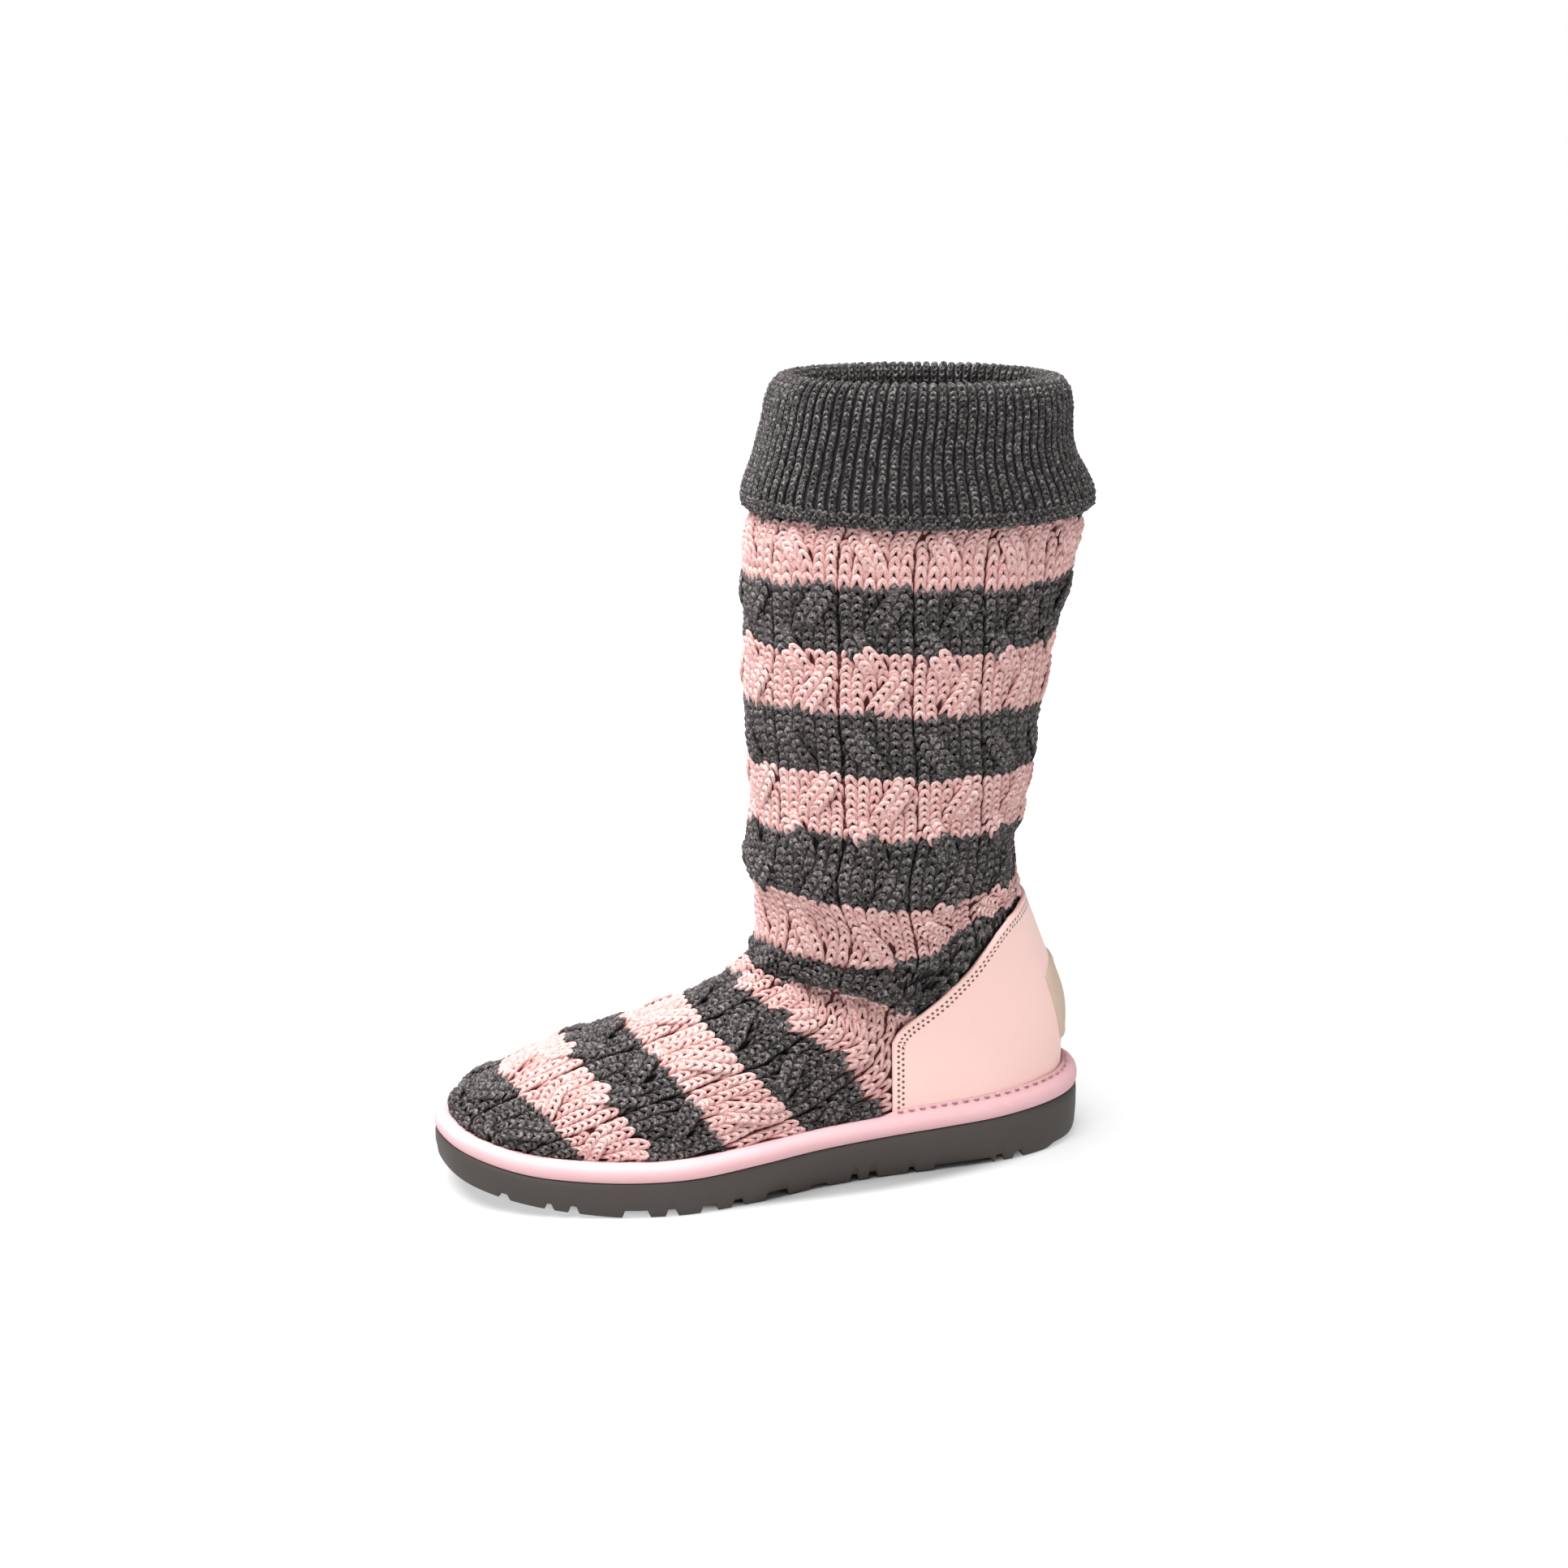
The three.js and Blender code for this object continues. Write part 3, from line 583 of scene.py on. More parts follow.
# each yarn: painted shade and dark heather colour, body, painted highlight and fleck colour, fleck share,
# share of random tone and painted highlight
PINK = yarn("yarn_pink", (0.33, 0.10, 0.09), (0.71, 0.375, 0.35), (1.0, 0.80, 0.77), 0.6, 0.6)
GREY = yarn("yarn_grey", (0.002, 0.0017, 0.0018), (0.0115, 0.010, 0.0102), (0.42, 0.375, 0.37), 0.62, 0.2,
            sheen=0.08, shine=0.18)
CHARCOAL = yarn("yarn_charcoal", (0.002, 0.0018, 0.002), (0.0115, 0.0102, 0.0104), (0.42, 0.38, 0.38), 0.62,
                0.2, 22.0, sheen=0.12, shine=0.18)
# dark sheets behind the stitches, in the stripes' colours: painted shade in the gaps between stitches
SHADE_SHEET_PINK = cloth("knit_shade_sheet_pink", (0.20, 0.05, 0.045), (0.12, 0.028, 0.025))
SHADE_SHEET_GREY = cloth("knit_shade_sheet_grey", (0.007, 0.0065, 0.007), (0.004, 0.004, 0.004))
FLEECE = cloth("fleece", (0.80, 0.66, 0.58), (0.62, 0.48, 0.42), 900, 1.0, 0.5)
LEATHER = leather("counter_leather", (0.88, 0.60, 0.555), (0.84, 0.545, 0.495), (0.89, 0.625, 0.575))
SUEDE = suede("binding_suede", (0.70, 0.43, 0.455), (0.66, 0.39, 0.41))
THREAD = cloth("thread", (0.72, 0.38, 0.41), (0.52, 0.23, 0.25), 2600, 0.4, 0.1)
SOLE = foam_rubber("foam_rubber", (0.043, 0.035, 0.031), (0.060, 0.050, 0.044))
PATCH = suede("patch_suede", (0.62, 0.475, 0.375), (0.52, 0.39, 0.30))

# Courses: the ring at a course number and a distance round from the crest
FIRST_COURSE, LAST_COURSE, MOST_ROUND = -3, 118, 180
COURSES = np.linspace(FIRST_COURSE, LAST_COURSE, 485)
ROUND = np.linspace(0, MOST_ROUND, 46)
edges = np.stack([np.interp(COURSES, STRIPE_EDGES[:, 0], column) for column in STRIPE_EDGES.T[1:]], 1)
kernel = np.exp(-np.linspace(-1.6, 1.6, 17) ** 2)
kernel /= kernel.sum()
padded = np.pad(edges, ((8, 8), (0, 0)), mode="reflect", reflect_type="odd")
edges = np.stack([np.convolve(column, kernel, "valid") for column in padded.T], 1)
COURSE_TABLE = np.stack([through(STRIPE_T, row)(ROUND) for row in edges])


def ring_of_course(c, t):
    row = (np.clip(c, FIRST_COURSE, LAST_COURSE) - FIRST_COURSE) / 121 * (len(COURSES) - 1)
    col = np.clip(np.abs(t), 0, MOST_ROUND) / MOST_ROUND * (len(ROUND) - 1)
    return between(COURSE_TABLE, row, col)


def even_sides(t, s):
    """t scaled up the leg so that both sides come to the back at one distance."""
    reach, other = reach_at(s, t), reach_at(s, -t)
    return t * (1 + (other / reach - 1) / 2 * smoothstep(13, 18, s))


def column_place(x, s):
    """Arc position x columns round from the crest: even on the outer side and along the foot,
    the other seven of the leg's twelve columns sharing what is left of it."""
    outer, inner = reach_at(s, 1), reach_at(s, -1)
    up_leg = smoothstep(13, 18.5, s)
    near = 26.4 + 1.6 * up_leg
    far = 26.4 + ((outer + inner - 5 * near) / 7 - 26.4) * up_leg
    t = np.clip(x, -0.3, 4.7) * near + (x - np.clip(x, -0.3, 4.7)) * far
    turn = np.where(s > LEG_RING, outer + inner, 0)
    return np.where(t > outer, t - turn, np.where(t < -inner, t + turn, t))


def place(c, column, f):
    """Point, normal, ring and arc position at course c, column and share f across the column."""
    x = column - 0.3 + f
    s = ring_of_course(c, x * 27.5)
    for _ in range(4):
        t = column_place(x, s)
        s = ring_of_course(c, even_sides(t, s))
    t = column_place(x, s)
    return *surface(s, t), s, t


# Knit stitches
SINK = 1.2  # the fabric's middle lies this far inside the fitted outline, so its crowns reach it
WALE, COURSE = 4.0, 3.0  # one stitch's width and height in the template
COLUMNS = range(-5, 7)


def yarn_skin(path, along, radius, around, top=None):
    """Yarn's upper skin along a path: its points, and a map of length along it and share round it."""
    tangent = unit(np.gradient(path, axis=0))
    side = unit(np.cross(tangent, [0, 0, 1.0]))
    top = unit(np.cross(side, tangent))[:, None] if top is None else top
    a = np.radians(np.linspace(-112, 112, around))
    ring = side[:, None] * np.sin(a)[None, :, None] + top * np.cos(a)[None, :, None]
    uv = np.stack(np.broadcast_arrays(along[:, None] / 10, (a / (2 * np.pi) + 0.5)[None]), -1)
    return (path[:, None] + ring * radius).reshape(-1, 3), uv.reshape(-1, 2)


def stitch_template(width, height, radius, depth, around=5):
    """A rounded arch of yarn, apex up, its feet sunk in the fabric: points, two maps, faces."""
    x = np.array([-0.40, -0.375, -0.30, -0.175, 0, 0.175, 0.30, 0.375, 0.40]) * width
    y = np.array([-0.92, -0.46, 0.06, 0.44, 0.58, 0.44, 0.06, -0.46, -0.92]) * height
    z = np.array([-0.95, -0.15, 0.28, 0.58, 0.7, 0.58, 0.28, -0.15, -0.95]) * depth
    r = np.array([0.62, 0.86, 0.98, 1.04, 1.06, 1.04, 0.98, 0.86, 0.62]) * radius
    path = np.stack([x, y, z], 1)
    # height share of each ring, which the yarn material turns into painted highlight at the apex and
    # painted shade at the feet
    proud = np.repeat((z - z.min()) / (z.max() - z.min()), around)
    skin = yarn_skin(path, run_along(path), r[:, None, None], around)
    return *skin, proud, grid_faces(len(x), around)


def stitches(name, template, centre, across, up, normal, chance_and_shade, material, slot):
    """Copies a template to every stitch: across and up are vectors of one wale and one course."""
    points, uv, proud, faces = template
    n, k = len(centre), len(points)
    verts = (centre[:, None] + points[None, :, :1] * across[:, None]
             + points[None, :, 1:2] * up[:, None] + points[None, :, 2:] * normal[:, None])
    all_faces = (faces[None] + (np.arange(n) * k)[:, None, None]).reshape(-1, 4)
    along = np.tile(uv, (n, 1)) + np.repeat(rng.random((n, 1)) * 7, k, 0) * [1, 0]
    # second map: height share times the stitch's shading factor, for the yarn's painted highlight and
    # painted shade
    random_and_shade = np.repeat(chance_and_shade, k, 0) * np.column_stack([np.ones(n * k), 0.25 + 0.75 * np.tile(proud, n)])
    ob = add_mesh(name, verts.reshape(-1, 3), all_faces, material, uvs={"along": along, "chance_and_shade": random_and_shade})
    return dress(ob, slot)


# Cables: the course each crossing is at, and whether its front strand runs down to the right
CROSSINGS = [(at, k % 2 == 1) for k, at in enumerate((
    -3, 3.2, 10, 15.7, 20.9, 28.4, 34, 39.6, 46, 52, 58.4, 64.5, 70.6, 76.6, 82.8, 88.8, 94.9,
    101, 107, 113))]
REACH = 2.75  # courses from a crossing's middle to its end


def crossing_path(c, at, right):
    """Where the front strand is at course c, in wales from the column's left, and its slope."""
    u = np.clip((c - at) / REACH, -1, 1)
    start, end = (1.0, 3.0) if right else (5.0, 3.0)
    move = (3 * u - u**3 + 2) / 4
    slope = (end - start) * 3 * (1 - u**2) / 4 / REACH
    return start + (end - start) * move, slope


def knit_place(c, column, o):
    return place(c, column, 0.02 + 0.96 * o / 6)


def no_longer(v, most):
    """Vectors shortened to a greatest length."""
    long = np.linalg.norm(v, axis=1, keepdims=True)
    return v * np.minimum(1, most / np.maximum(long, 1e-9))


def knit_frames(c, column, o, slope):
    """Centre, one-wale and one-course vectors, normal, ring and arc position of stitches."""
    p, n, s, t = knit_place(c, column, o)
    across = (knit_place(c, column, o + 0.4)[0] - knit_place(c, column, o - 0.4)[0]) / (0.8 * WALE)
    up = (knit_place(c - 0.5, column, o - 0.5 * slope)[0]
          - knit_place(c + 0.5, column, o + 0.5 * slope)[0]) / COURSE
    tuck = 1.5 * smoothstep(-4, 0.5, counter_depth(p[:, 1], p[:, 2]))
    return p - n * tuck[:, None], no_longer(across, 1.3), no_longer(up, 1.5), n, s, t


def shown(p, s, t, counter_margin=1.6):
    """Stitches that aren't under the rand or the counter, or past the fabric's ends."""
    above_rand = p[:, 2] > sole_top(p[:, 1]) + RAND_HEIGHT - 0.8
    keep = (above_rand & (np.abs(t) < reach_at(s, t) - 0.4) & (s > 0.15)) | (s > LEG_RING)
    return keep & (counter_depth(p[:, 1], p[:, 2]) < counter_margin)


def stripe_of(c):
    """0 for a pink course, 1 for a grey one; the toe stays grey."""
    return np.where(c >= 104, 1, np.floor_divide(c, 8) % 2).astype(int)


def knit_upper():
    """Every stitch of the leg and foot, grouped by stripe, with the cables' front strands over them."""
    groups = {}
    template = stitch_template(WALE, COURSE, 0.92, 0.95)
    courses = np.arange(FIRST_COURSE, LAST_COURSE)

    def collect(c, keep, *arrays):
        band = np.minimum(np.floor_divide(c, 8), 13).astype(int)
        for k in np.unique(band[keep]):
            m = keep & (band == k)
            groups.setdefault(int(k), []).append([x[m] for x in arrays])

    for column in COLUMNS:
        for wale in range(6):
            c = courses + 0.12 * math.sin(2.4 * column + wale)
            o = wale + 0.5
            covered, dip, lean = np.zeros(len(c), bool), np.zeros(len(c)), np.zeros(len(c))
            for at, right in CROSSINGS:
                centre, _ = crossing_path(c, at, right)
                u = (c - at) / REACH
                covered |= (np.abs(u) < 0.8) & (np.abs(o - centre) < 0.95)
                dip -= 0.75 * (np.exp(-((o - centre) / 1.7) ** 2) * np.exp(-(u / 0.9) ** 2))
                middle, way = (2.0, 1) if right else (4.0, -1)
                pull = np.exp(-(u / 0.8) ** 2) * np.exp(-((o - middle) / 1.6) ** 2)
                lean += 0.3 * pull * way * np.sign(u)
            jitter = rng.normal(0, 1, (len(c), 5))
            slope = np.gradient(lean) + 0.05 * jitter[:, 4]
            p, across, up, n, s, t = knit_frames(c, column, o + lean, slope)
            step = np.linalg.norm(up, axis=1) * COURSE
            # where courses crowd, every second one is left out and the others grow
            tight = step < 1.9
            keep = shown(p, s, t) & ~covered & (step > 0.4) & ~(tight & (courses % 2 == 1))
            up = np.where(tight[:, None], up * 1.7, up)
            crown = 0.45 * (1 - np.abs(o / 3 - 1) ** 4) + 0.16 * np.cos((o - 1) * np.pi)
            centre = p + n * (0.1 - SINK + crown + dip + 0.1 * jitter[:, 0])[:, None]
            centre += across * 0.16 * jitter[:, 1:2] + up * 0.16 * jitter[:, 2:3]
            nn = unit(n + unit(across) * ((o / 3 - 1) ** 3 * 0.4)) * (1 + 0.1 * jitter[:, 3:4])
            # second column is the painted shade factor: stitches dipped beside a cable's band are painted
            # darker, as in its shadow
            chance_and_shade = np.column_stack([rng.random(len(c)), np.clip(1 + 0.55 * dip, 0.2, 1)])
            collect(courses, keep, centre, across, up, nn, chance_and_shade)
        for at, right in CROSSINGS:
            u = np.linspace(-0.92, 0.92, 7)
            c = at + REACH * u
            o, slope = crossing_path(c, at, right)
            for side in (-1, 1):
                jitter = rng.normal(0, 1, (len(c), 4))
                p, across, up, n, s, t = knit_frames(c, column, o, slope)
                up = up * (REACH * 2 * 0.92 / 6) * 1.06
                across = unit(np.cross(up, n)) * np.linalg.norm(across, axis=1, keepdims=True)
                above = p[:, 2] - sole_top(p[:, 1]) - RAND_HEIGHT
                free = smoothstep(0.5, 7, -counter_depth(p[:, 1], p[:, 2])) * smoothstep(0, 7, above)
                rise = 1.75 * (1 - u**2) ** 0.75 * np.maximum(free, 0.15) - 0.35
                centre = (p + across * (side * 1.8 + 0.12 * jitter[:, 1:2])
                          + n * (0.35 - SINK + rise + 0.08 * jitter[:, 0])[:, None])
                lean_to = unit(n + unit(across) * side * 0.28 + unit(up) * (u * 0.35)[:, None])
                keep = shown(p, s, t, 0.8) & (np.linalg.norm(up, axis=1) > 0.25)
                chance_and_shade = np.column_stack([rng.random(len(c)), np.ones(len(c))])
                collect(np.floor(c + 0.6), keep, centre, across * 0.98, up, lean_to * 0.95, chance_and_shade)
    for k in sorted(groups):
        parts = [np.concatenate(x) for x in zip(*groups[k])]
        stitches(f"knit_stripe_{k + 2:02d}", template, *parts, GREY if k == 13 or k % 2 else PINK, "knit")


def knit_bars():
    """The ladder of small bars down each groove between cables."""
    x = np.array([-1.25, -0.8, 0, 0.8, 1.25])
    z = np.array([-0.5, 0.1, 0.25, 0.1, -0.5])
    path = np.stack([x, 0.15 * np.cos(x), z], 1)
    template = *yarn_skin(path, x, 0.55, 5, np.array([0, 0, 1.0])), np.full(25, 0.6), grid_faces(5, 5)
    rows = {0: [], 1: []}
    courses = np.arange(-1, LAST_COURSE)
    for column in COLUMNS:
        p, n, s, t = place(courses, column, 0)
        right, left = (place(courses, column, f)[0] for f in (0.03, -0.03))
        upper, lower = (place(courses + step, column, 0)[0] for step in (-0.5, 0.5))
        across, up = unit(right - left), (upper - lower) / COURSE
        keep = shown(p, s, t) & (np.linalg.norm(upper - lower, axis=1) > 1.5)
        centre = p - n * (1.1 + SINK)
        # painted shade: a low shading factor paints the bars down the grooves nearly all in the dark colour
        chance_and_shade = np.column_stack([rng.random(len(courses)), np.full(len(courses), 0.35)])
        for k in (0, 1):
            m = keep & (stripe_of(courses) == k)
            rows[k].append((centre[m], across[m], up[m], n[m], chance_and_shade[m]))
    for k, name, material in ((0, "ladder_pink", PINK), (1, "ladder_grey", GREY)):
        stitches(name, template, *(np.concatenate(x) for x in zip(*rows[k])), material, "knit")


def knit_shade_sheet():
    """A dark sheet behind the stitches, coloured in the same stripes, as painted shade in the gaps between
    them; and the lining.
    """
    courses = np.concatenate([[FIRST_COURSE], np.arange(-2, 118.5), [LAST_COURSE]])
    cols = 121
    u = np.linspace(-1, 1, cols)[None]
    c = np.repeat(courses[:, None], cols, 1)
    s = ring_of_course(c, np.abs(u) * 165)
    for _ in range(3):
        s = ring_of_course(c, even_sides(u * reach_at(s, u), s))
    p, n = surface(s, u * reach_at(s, u))
    ob = add_mesh("knit_shade_sheet", (p - n * (0.95 + SINK)).reshape(-1, 3), grid_faces(len(courses), cols),
                  [SHADE_SHEET_PINK, SHADE_SHEET_GREY], face_material=stripe_of(np.repeat(courses[:-1], cols - 1)))
    dress(ob, "knit", "upper")
    s = np.repeat(np.linspace(0.9, S_MAX, 90)[:, None], cols, 1)
    p, n = surface(s, u * reach_at(s, u))
    ob = add_mesh("lining", (p - n * (2.8 + SINK)).reshape(-1, 3), grid_faces(90, cols)[:, ::-1], FLEECE)
    dress(ob, "knit")


# Cuff
cuff_front, cuff_back, cuff_half = (through(CUFF_FACE[:, 0], column) for column in CUFF_FACE.T[1:])
CUFF_RIBS, RIM_RUN, HEM_STITCHES = 88, 57, 150


def cuff_point(z, d, angle):
    """Point on the cuff at height z, d mm in from its outer face; angle 0 is the front."""
    front, back, half = cuff_front(z), cuff_back(z), cuff_half(z)
    n = 2 / 2.2
    c, s = np.cos(angle), np.sin(angle)
    x = (half - d) * np.sign(s) * np.abs(s) ** n
    y = (front + back) / 2 - ((back - front) / 2 - d) * np.sign(c) * np.abs(c) ** n
    return np.stack(np.broadcast_arrays(x, y, z), -1)


# The cuff's section from its hem up over the rim and down inside: height, depth behind its face
CUFF_PATH = np.array([
    [257.4, 3.4], [256.8, 1.6], [257.6, 0.3], [260, 0], [266, 0], [276, 0], [290, 0], [303, 0],
    [308.5, 0.7], [311, 2.3], [311.8, 4.5], [311, 6.8], [308.5, 8.4], [303, 9], [290, 9], [276, 9],
    [263, 9], [254, 9]])
CUFF_RUN = run_along(CUFF_PATH)
path_height, path_depth = (through(CUFF_RUN, column) for column in CUFF_PATH.T)


def cuff_surface(run, angle):
    """Point on the cuff's path, run mm along it from the hem, and its outward normal."""
    def point(r, a):
        p = cuff_point(path_height(r), path_depth(r), a)
        up = smoothstep(257, 312, p[..., 2])
        hem = 3.6 * np.cos(a) ** 2 + 0.5
        rim = 2.6 + 1.4 * np.sin(a)
        return p + np.stack([0 * up, 0 * up, hem * (1 - up) - rim * up], -1)
    along = point(run + 0.3, angle) - point(run - 0.3, angle)
    across = point(run, angle + 0.01) - point(run, angle - 0.01)
    return point(run, angle), unit(np.cross(across, along))


def even_angles(count):
    """Angles that divide the cuff's round evenly."""
    a = np.linspace(0, 2 * np.pi, 1441)
    run = run_along(cuff_point(np.full_like(a, 290.0), 0.0, a))
    return np.interp(np.arange(count) / count * run[-1], run, a)


def knit_cuff():
    """The ribs on both sides, the turned edge below them and a dark sheet behind as painted shade in their
    gaps.
    """
    angles = even_angles(CUFF_RIBS)
    quarter = 2 * np.pi / CUFF_RIBS * 0.25
    template = stitch_template(2.7, 2.1, 0.64, 0.62, 4)
    for name, start, end in (("cuff_rib_outside", 6.4, RIM_RUN), ("cuff_rib_inside", RIM_RUN, 92)):
        r, a = (v.ravel() for v in np.meshgrid(np.arange(start, end, 2.08), angles, indexing="ij"))
        p, n = cuff_surface(r, a)
        side = cuff_surface(r, a + quarter)[0] - cuff_surface(r, a - quarter)[0]
        across = unit(side) * (np.linalg.norm(side, axis=1, keepdims=True) * 2 / 4.15) ** 0.5
        up = unit(cuff_surface(r + 0.5, a)[0] - cuff_surface(r - 0.5, a)[0])
        jitter = rng.normal(0, 1, (len(r), 3))
        over_rim = 0.35 * np.exp(-((r - RIM_RUN) / 5) ** 2)[:, None]
        centre = p + n * (0.15 - over_rim + 0.08 * jitter[:, :1]) + across * 0.1 * jitter[:, 1:2]
        chance_and_shade = np.column_stack([rng.random(len(r)), 0.75 + 0.25 * rng.random(len(r))])
        stitches(name, template, centre, across, up, n, chance_and_shade, CHARCOAL, "rib")
    # the turned edge: close, uneven stitches with no ribs
    rows = []
    at_rib = np.arange(CUFF_RIBS + 1) * HEM_STITCHES / CUFF_RIBS
    for k, r0 in enumerate(np.arange(1.7, 7.4, 1.15)):
        a = np.interp(np.arange(HEM_STITCHES) + 0.5 * (k % 2), at_rib, [*angles, 2 * np.pi])
        rows.append(np.column_stack([np.full(HEM_STITCHES, r0), a]))
    r, a = np.concatenate(rows).T
    p, n = cuff_surface(r, a)
    across = unit(cuff_surface(r, a + 0.01)[0] - cuff_surface(r, a - 0.01)[0])
    up = unit(np.cross(n, across))
    jitter = rng.normal(0, 1, (len(r), 4))
    turn = 0.2 * jitter[:, 3:]
    across, up = across * np.cos(turn) + up * np.sin(turn), up * np.cos(turn) - across * np.sin(turn)
    centre = p + n * (0.05 + 0.16 * jitter[:, :1]) + across * 0.25 * jitter[:, 1:2]
    chance_and_shade = np.column_stack([rng.random(len(r)), 0.7 + 0.3 * rng.random(len(r))])
    stitches("cuff_hem", stitch_template(2.3, 1.5, 0.62, 0.6, 4), centre, across, up * 0.95, n, chance_and_shade,
             CHARCOAL, "rib")
    # a dark sheet behind the ribs: painted shade in their gaps
    rows, cols = 70, 160
    r, a = np.meshgrid(np.linspace(0, CUFF_RUN[-1], rows), np.linspace(0, 2 * np.pi, cols + 1)[:-1],
                       indexing="ij")
    p, n = cuff_surface(r, a)
    ob = add_mesh("cuff_shade_sheet", (p - n * 0.75).reshape(-1, 3), grid_faces(rows, cols, wrap_cols=True),
                  SHADE_SHEET_GREY)
    dress(ob, "rib", "cuff")


# Heel: leather counter and patch
def closed_sheet(name, outer, inner, material, slot, node, uv=None):
    """A closed skin from two grids of points, joined round their borders."""
    rows, cols = outer.shape[:2]
    k = rows * cols
    rim = np.concatenate([
        np.arange(cols), cols * np.arange(1, rows) + cols - 1,
        (rows - 1) * cols + np.arange(cols - 2, -1, -1), cols * np.arange(rows - 2, 0, -1)])
    after = np.roll(rim, -1)
    faces = np.concatenate([grid_faces(rows, cols), grid_faces(rows, cols, start=k)[:, ::-1],
                            np.stack([rim, rim + k, after + k, after], 1)])
    verts = np.concatenate([outer.reshape(-1, 3), inner.reshape(-1, 3)])
    uvs = None if uv is None else {"edge": np.concatenate([uv, uv])}
    dress(outward(add_mesh(name, verts, faces, material, uvs=uvs)), slot, node)


def heel_counter():
    """The overlay round the heel, from its edge on one side, round the back, to the other."""
    rows, cols, y0 = 60, 61, 42.6
    v = np.linspace(0, 1, rows)[:, None]
    a = np.linspace(0, math.pi / 2, cols)[None]
    halves = []
    for sign in (1, -1):
        # height rows follow the edge; columns bunch towards the back of the heel
        y = y0 + (back_line(30 + v * 75) - y0) * np.sin(a)
        for _ in range(3):
            top = np.interp(y, COUNTER_EDGE[2:, 0], COUNTER_EDGE[2:, 1])
            low = sole_top(y) + RAND_HEIGHT - 1.2
            z = low + (top - low) * v
            y = y0 + (back_line(z) - 0.001 - y0) * np.sin(a)
        x = side_x(y, z, sign)
        x[:, -1] = 0
        halves.append(np.stack([x, y, z], -1))
    p = np.concatenate([halves[0], halves[1][:, -2::-1]], 1)
    n = sheet_normals(p)
    if n[rows // 2, p.shape[1] // 4, 0] < 0:
        n = -n
    # each point's distance from the free edge and its place along it, measured on the leather
    line = np.concatenate([p[:, 0], p[-1, 1:], p[-2::-1, -1]])
    run = run_along(line)
    depth, along = np.full(p.shape[:2], 1e9), np.zeros(p.shape[:2])
    for i, (start, d) in enumerate(zip(line, np.diff(line, axis=0))):
        t = np.clip(((p - start) @ d) / (d @ d), 0, 1)
        r = np.linalg.norm(p - start - t[..., None] * d, axis=-1)
        closer = r < depth
        depth = np.where(closer, r, depth)
        along = np.where(closer, run[i] + t * (run[i + 1] - run[i]), along)
    height = 1.75 - 0.5 * (1 - np.clip(depth / 0.8, 0, 1)) ** 2
    closed_sheet("counter_leather", p + n * height[..., None], p + n * 0.2, LEATHER, "counter_leather",
                 "heel_counter", np.stack([along, depth], -1).reshape(-1, 2))


def heel_patch():
    """The plain patch on the back of the heel, where the real boot has its badge."""
    rows, cols = 24, 41
    v = np.linspace(0, 1, rows)[:, None]
    u = np.linspace(-1, 1, cols)[None]
    half = 20.4 - 6 * (1 - v) ** 2.5
    x = u * half
    low, high = 39.4 + 1.6 * u**2, 76 - 5.4 * u**2 * np.abs(u)
    z = low + (high - low) * v
    lo, hi = back_line(z) - 45, back_line(z)
    for _ in range(30):
        mid = (lo + hi) / 2
        wide = np.where(x >= 0, side_x(mid, z, 1), -side_x(mid, z, -1)) > np.abs(x)
        lo, hi = np.where(wide, mid, lo), np.where(wide, hi, mid)
    p = np.stack([x, (lo + hi) / 2, z], -1)
    n = sheet_normals(p)
    if n[rows // 2, cols // 2, 1] < 0:
        n = -n
    border = np.minimum(np.minimum(v, 1 - v) * (high - low), (1 - np.abs(u)) * half)
    puff = 1.1 * np.sqrt(np.clip(border / 1.2, 0, 1)) + 0.25 * np.exp(-((border - 3.2) / 0.8) ** 2)
    closed_sheet("heel_patch", p + n * (1.8 + puff)[..., None], p + n * 1.5, PATCH, "label", "heel_label")


# Rand, outsole and insole
# The binding's section: inset, height above the sole's top, and what both gain where it has a flange
BINDING = [
    (7.4, 0.1, 0, 0), (0.9, 0.1, 0, 0), (0.25, 0.7, 0, 0), (0.0, 1.8, 0, 0), (0.0, 3.2, 0, 0),
    (0.35, 4.6, 0, 0), (1.1, 5.7, 0, 0), (2.2, 6.5, 0, 0), (3.4, 6.9, 0.2, 0), (4.5, 7.0, 0.35, 0),
    (5.4, 6.8, -0.35, 1.9), (7.4, 6.4, -0.6, 1.6)]


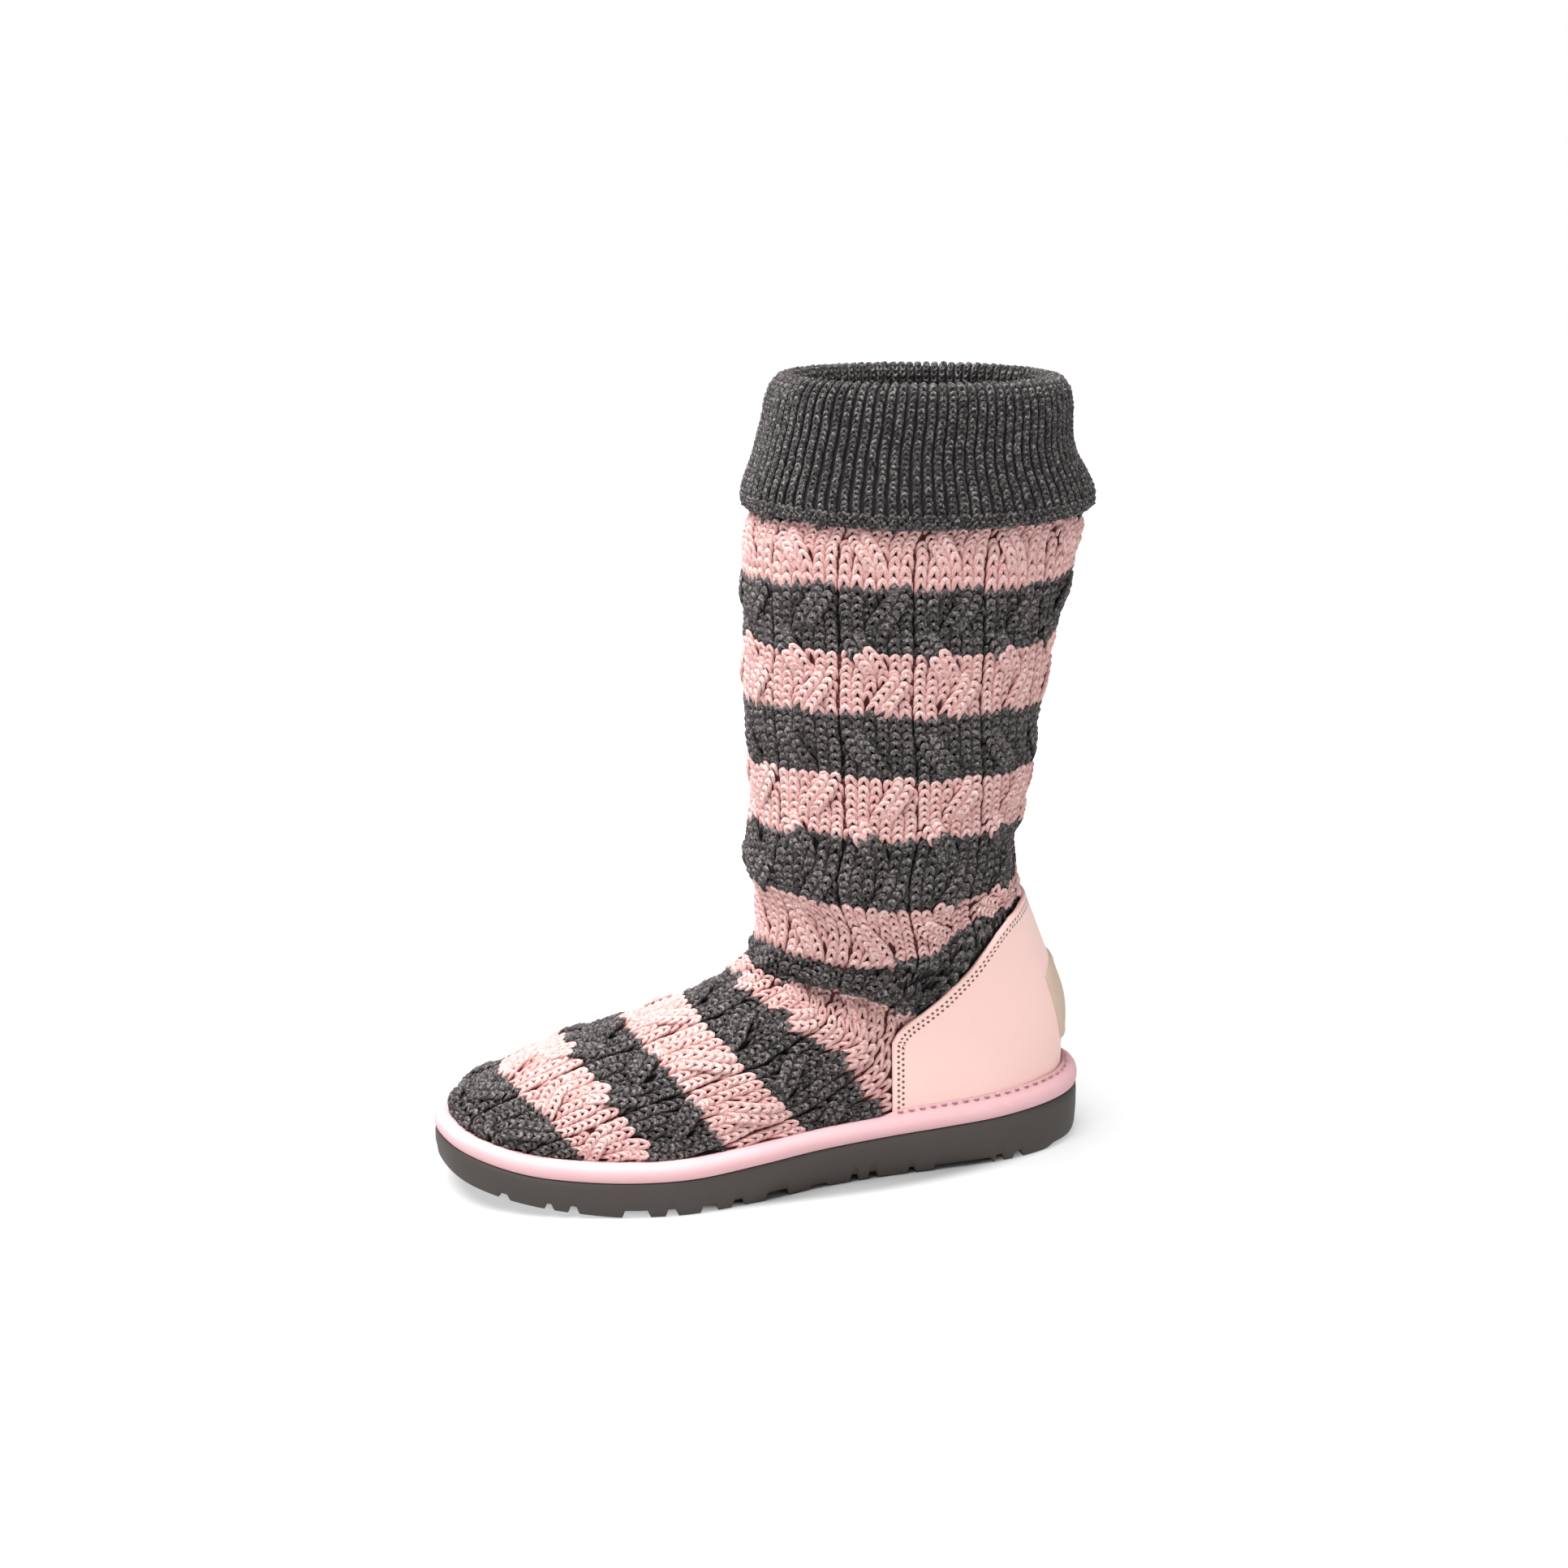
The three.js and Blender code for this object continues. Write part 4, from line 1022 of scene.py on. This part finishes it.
def rand():
    """The binding round the sole, and the thread along its flange."""
    loop = outline_loop(420)
    flange = smoothstep(38, 46, loop[:, 1])
    rows = []
    for d, h, shift, extra in BINDING:
        q = inset(loop, d + flange * shift)
        rows.append(np.column_stack([q, sole_top(q[:, 1]) + h + flange * extra]))
    faces = grid_faces(len(BINDING), len(loop), True, True)
    dress(outward(add_mesh("rand_binding", np.concatenate(rows), faces, SUEDE)), "rand", "rand")
    q = inset(outline_loop(2400), 4.75)
    run = run_along(q)
    spots = np.arange(0, run[-1], 4.6)
    px, py = (np.interp(spots, run, q[:, k]) for k in (0, 1))
    nx, ny = (np.interp(spots + 1, run, q[:, k]) for k in (0, 1))
    keep = py > 44
    base = np.stack([px, py, sole_top(py) + 8.1], 1)[keep]
    direction = unit(np.stack([nx - px, ny - py, 0 * nx], 1)[keep])
    outside = np.stack([direction[:, 1], -direction[:, 0], 0 * direction[:, 0]], 1)
    a = np.linspace(0, 2 * np.pi, 7)[:-1]
    along = np.array([-1.3, -0.9, 0, 0.9, 1.3])
    r = np.array([0.1, 0.27, 0.32, 0.27, 0.1])
    out = np.array([-0.25, 0.02, 0.12, 0.02, -0.25])
    verts = (base[:, None, None] + direction[:, None, None] * along[None, :, None, None]
             + outside[:, None, None] * (out[None, :, None] + r[None, :, None] * np.cos(a))[..., None]
             + np.array([0, 0, 1.0]) * (r[None, :, None] * np.sin(a))[..., None])
    faces = grid_faces(5, 6, wrap_cols=True)[None] + (np.arange(len(base)) * 30)[:, None, None]
    dress(add_mesh("rand_stitches", verts.reshape(-1, 3), faces.reshape(-1, 4), THREAD), "rand")


def heel_round(y):
    """0 to 1 over the last few millimetres of the heel, where the sole curls up."""
    return np.clip((y - 125.5) / 7, 0, 1)


def tread_height(y):
    """Height of the tread's surface: toe spring, grooves with rounded corners, rounded heel."""
    z = lift(y)
    for a, b, depth in GROOVES:
        r = min(1.1, (b - a) / 2.4)
        past_start = smoothstep(a - r * 0.35, a + r * 0.75, y)
        z = z + depth * past_start * (1 - smoothstep(b - r * 0.75, b + r * 0.35, y))
    z = z + 1.4 * smoothstep(109, 114, y)
    return z + 5.5 * heel_round(y) ** 2.2


def outsole():
    """The sole: a wall round it and an underside in strips across, each between two stations."""
    loop = inset(outline_loop(3000), 1.5)
    inner, outer = half_loop(loop, 1), half_loop(loop, -1)
    y0, y1 = loop[:, 1].min(), loop[:, 1].max()
    u = (1 - np.cos(np.pi * np.linspace(0, 1, 121))) / 2
    stations = set(np.round(y0 + (y1 - y0) * u, 3))
    for a, b, _ in GROOVES:
        for k in (-0.4, 0.1, 0.6, 1.0):
            stations.update({round(a + k, 3), round(b - k, 3)})
    ys = np.array(sorted(stations))
    ys = ys[np.concatenate([[True], np.diff(ys) > 0.12])]
    xo, xi = (np.interp(-ys, -side[:, 1], side[:, 0]) for side in (outer, inner))
    ring = np.concatenate([np.column_stack([xo, ys]), np.column_stack([xi, ys])[-2:0:-1]])
    if np.sum(ring[:, 0] * np.roll(ring[:, 1], -1) - ring[:, 1] * np.roll(ring[:, 0], -1)) < 0:
        ring = ring[::-1]
    low, tread = lift(ring[:, 1]), tread_height(ring[:, 1])
    rows = []
    for out, z in ((0.0, tread), (0.45, tread + 0.35), (0.8, tread + 1.1),
                   (1.2, low + 4.2 + 2.2 * heel_round(ring[:, 1])),
                   (1.5, 0.5), (1.45, 0.8), (1.1, 0.97), (0.4, 1.0), (-4.0, 1.0)):
        q = inset(ring, -out)
        if isinstance(z, float):  # a share of the way up to the sole's top
            z = low + (sole_top(q[:, 1]) - 0.02 - low) * z
        rows.append(np.column_stack([q, z]))
    cross = 9
    by = np.repeat(ys[:, None], cross, 1)
    bx = xo[:, None] + (xi - xo)[:, None] * np.linspace(0, 1, cross)[None]
    bottom = np.stack([bx, by, tread_height(by)], -1)
    faces = np.concatenate([grid_faces(len(rows), len(ring), wrap_cols=True),
                            grid_faces(len(ys), cross, start=len(rows) * len(ring))])
    ob = add_mesh("outsole_tread", np.concatenate([*rows, bottom.reshape(-1, 3)]), faces, SOLE)
    dress(ob, "outsole", "outsole")


knit_shade_sheet()
knit_upper()
knit_bars()
knit_cuff()
heel_counter()
heel_patch()
rand()
outsole()
insole_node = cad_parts["insole"]
insole_node.data.materials.clear()
insole_node.data.materials.append(FLEECE)

# Stage: pale floor with painted light, a glow round the boot and far from it that leaves the floor under
# the boot in shade; soft lights, the photograph's camera
bpy.context.scene.view_settings.view_transform = "Standard"
stage = Nodes("floor")
place_on_floor = stage.node("Mapping", {"Vector": stage.where})
place_on_floor.inputs["Location"].default_value = (0, -0.011, 0)
place_on_floor.inputs["Scale"].default_value = (2.6, 1.12, 1)
from_middle = stage.node("VectorMath", {"Vector": place_on_floor.outputs[0]}, operation="LENGTH")
glows = []
# painted light: no glow under the boot, so the floor there stays in shade; a glow just outside its
# footprint and more far off
for start, end, strength in ((0.118, 0.142, 0.55), (0.45, 1.8, 0.4)):
    share_lit = stage.node("MapRange", {"Value": from_middle.outputs["Value"]},
                           interpolation_type="SMOOTHSTEP", From_Min=start, From_Max=end)
    glows.append(stage.times(share_lit.outputs[0], strength))
stage.tree.links.new(stage.math("ADD", *glows), stage.shader.inputs["Emission Strength"])
floor_material = stage.finish((0.32, 0.32, 0.32), 0.9, Emission_Color=(1, 1, 1, 1), Specular_IOR_Level=0.2)
bpy.ops.mesh.primitive_plane_add(size=12, location=(0, 0, 0))
floor = bpy.context.object
floor.name = "floor"
floor.data.materials.append(floor_material)

world = bpy.data.worlds.new("studio")
bpy.context.scene.world = world
world.use_nodes = True
sky = world.node_tree
height = sky.nodes.new("ShaderNodeSeparateXYZ")
sky.links.new(sky.nodes.new("ShaderNodeTexCoord").outputs["Generated"], height.inputs[0])
dimmer = sky.nodes.new("ShaderNodeMapRange")
for key, value in (("From Min", 0.11), ("From Max", 0.3), ("To Min", 1.0), ("To Max", 0.16)):
    dimmer.inputs[key].default_value = value
sky.links.new(height.outputs[2], dimmer.inputs["Value"])
sky.links.new(dimmer.outputs[0], sky.nodes["Background"].inputs[1])
sky.nodes["Background"].inputs[0].default_value = (1, 1, 1, 1)


def area_light(name, location, target, size, power):
    light = bpy.data.lights.new(name, "AREA")
    light.shape, light.size, light.size_y, light.energy = "RECTANGLE", size, size, power
    ob = add_object(name, light)
    ob.location = location
    direction = np.array(target) - np.array(location)
    ob.rotation_euler = Vector(direction).to_track_quat("-Z", "Y").to_euler()


area_light("key", (0.75, -0.75, 1.6), (0, 0, 0.12), 1.0, 12)
area_light("fill", (1.3, 1.0, 0.7), (0, 0, 0.12), 1.2, 4)
area_light("top", (0.0, -0.5, 1.8), (0, -0.05, 0.1), 1.5, 84)

camera = bpy.data.cameras.new("camera")
camera.sensor_width, camera.lens = 36.0, 49.009
camera.clip_start, camera.clip_end = 0.05, 50
camera_ob = add_object("camera", camera)
camera_ob.location = (0.77398, -0.2148, 0.360127)
azimuth, elevation = math.radians(74.0), math.radians(14.425)
camera_ob.rotation_euler = (math.pi / 2 - elevation, 0, azimuth)
bpy.context.scene.camera = camera_ob
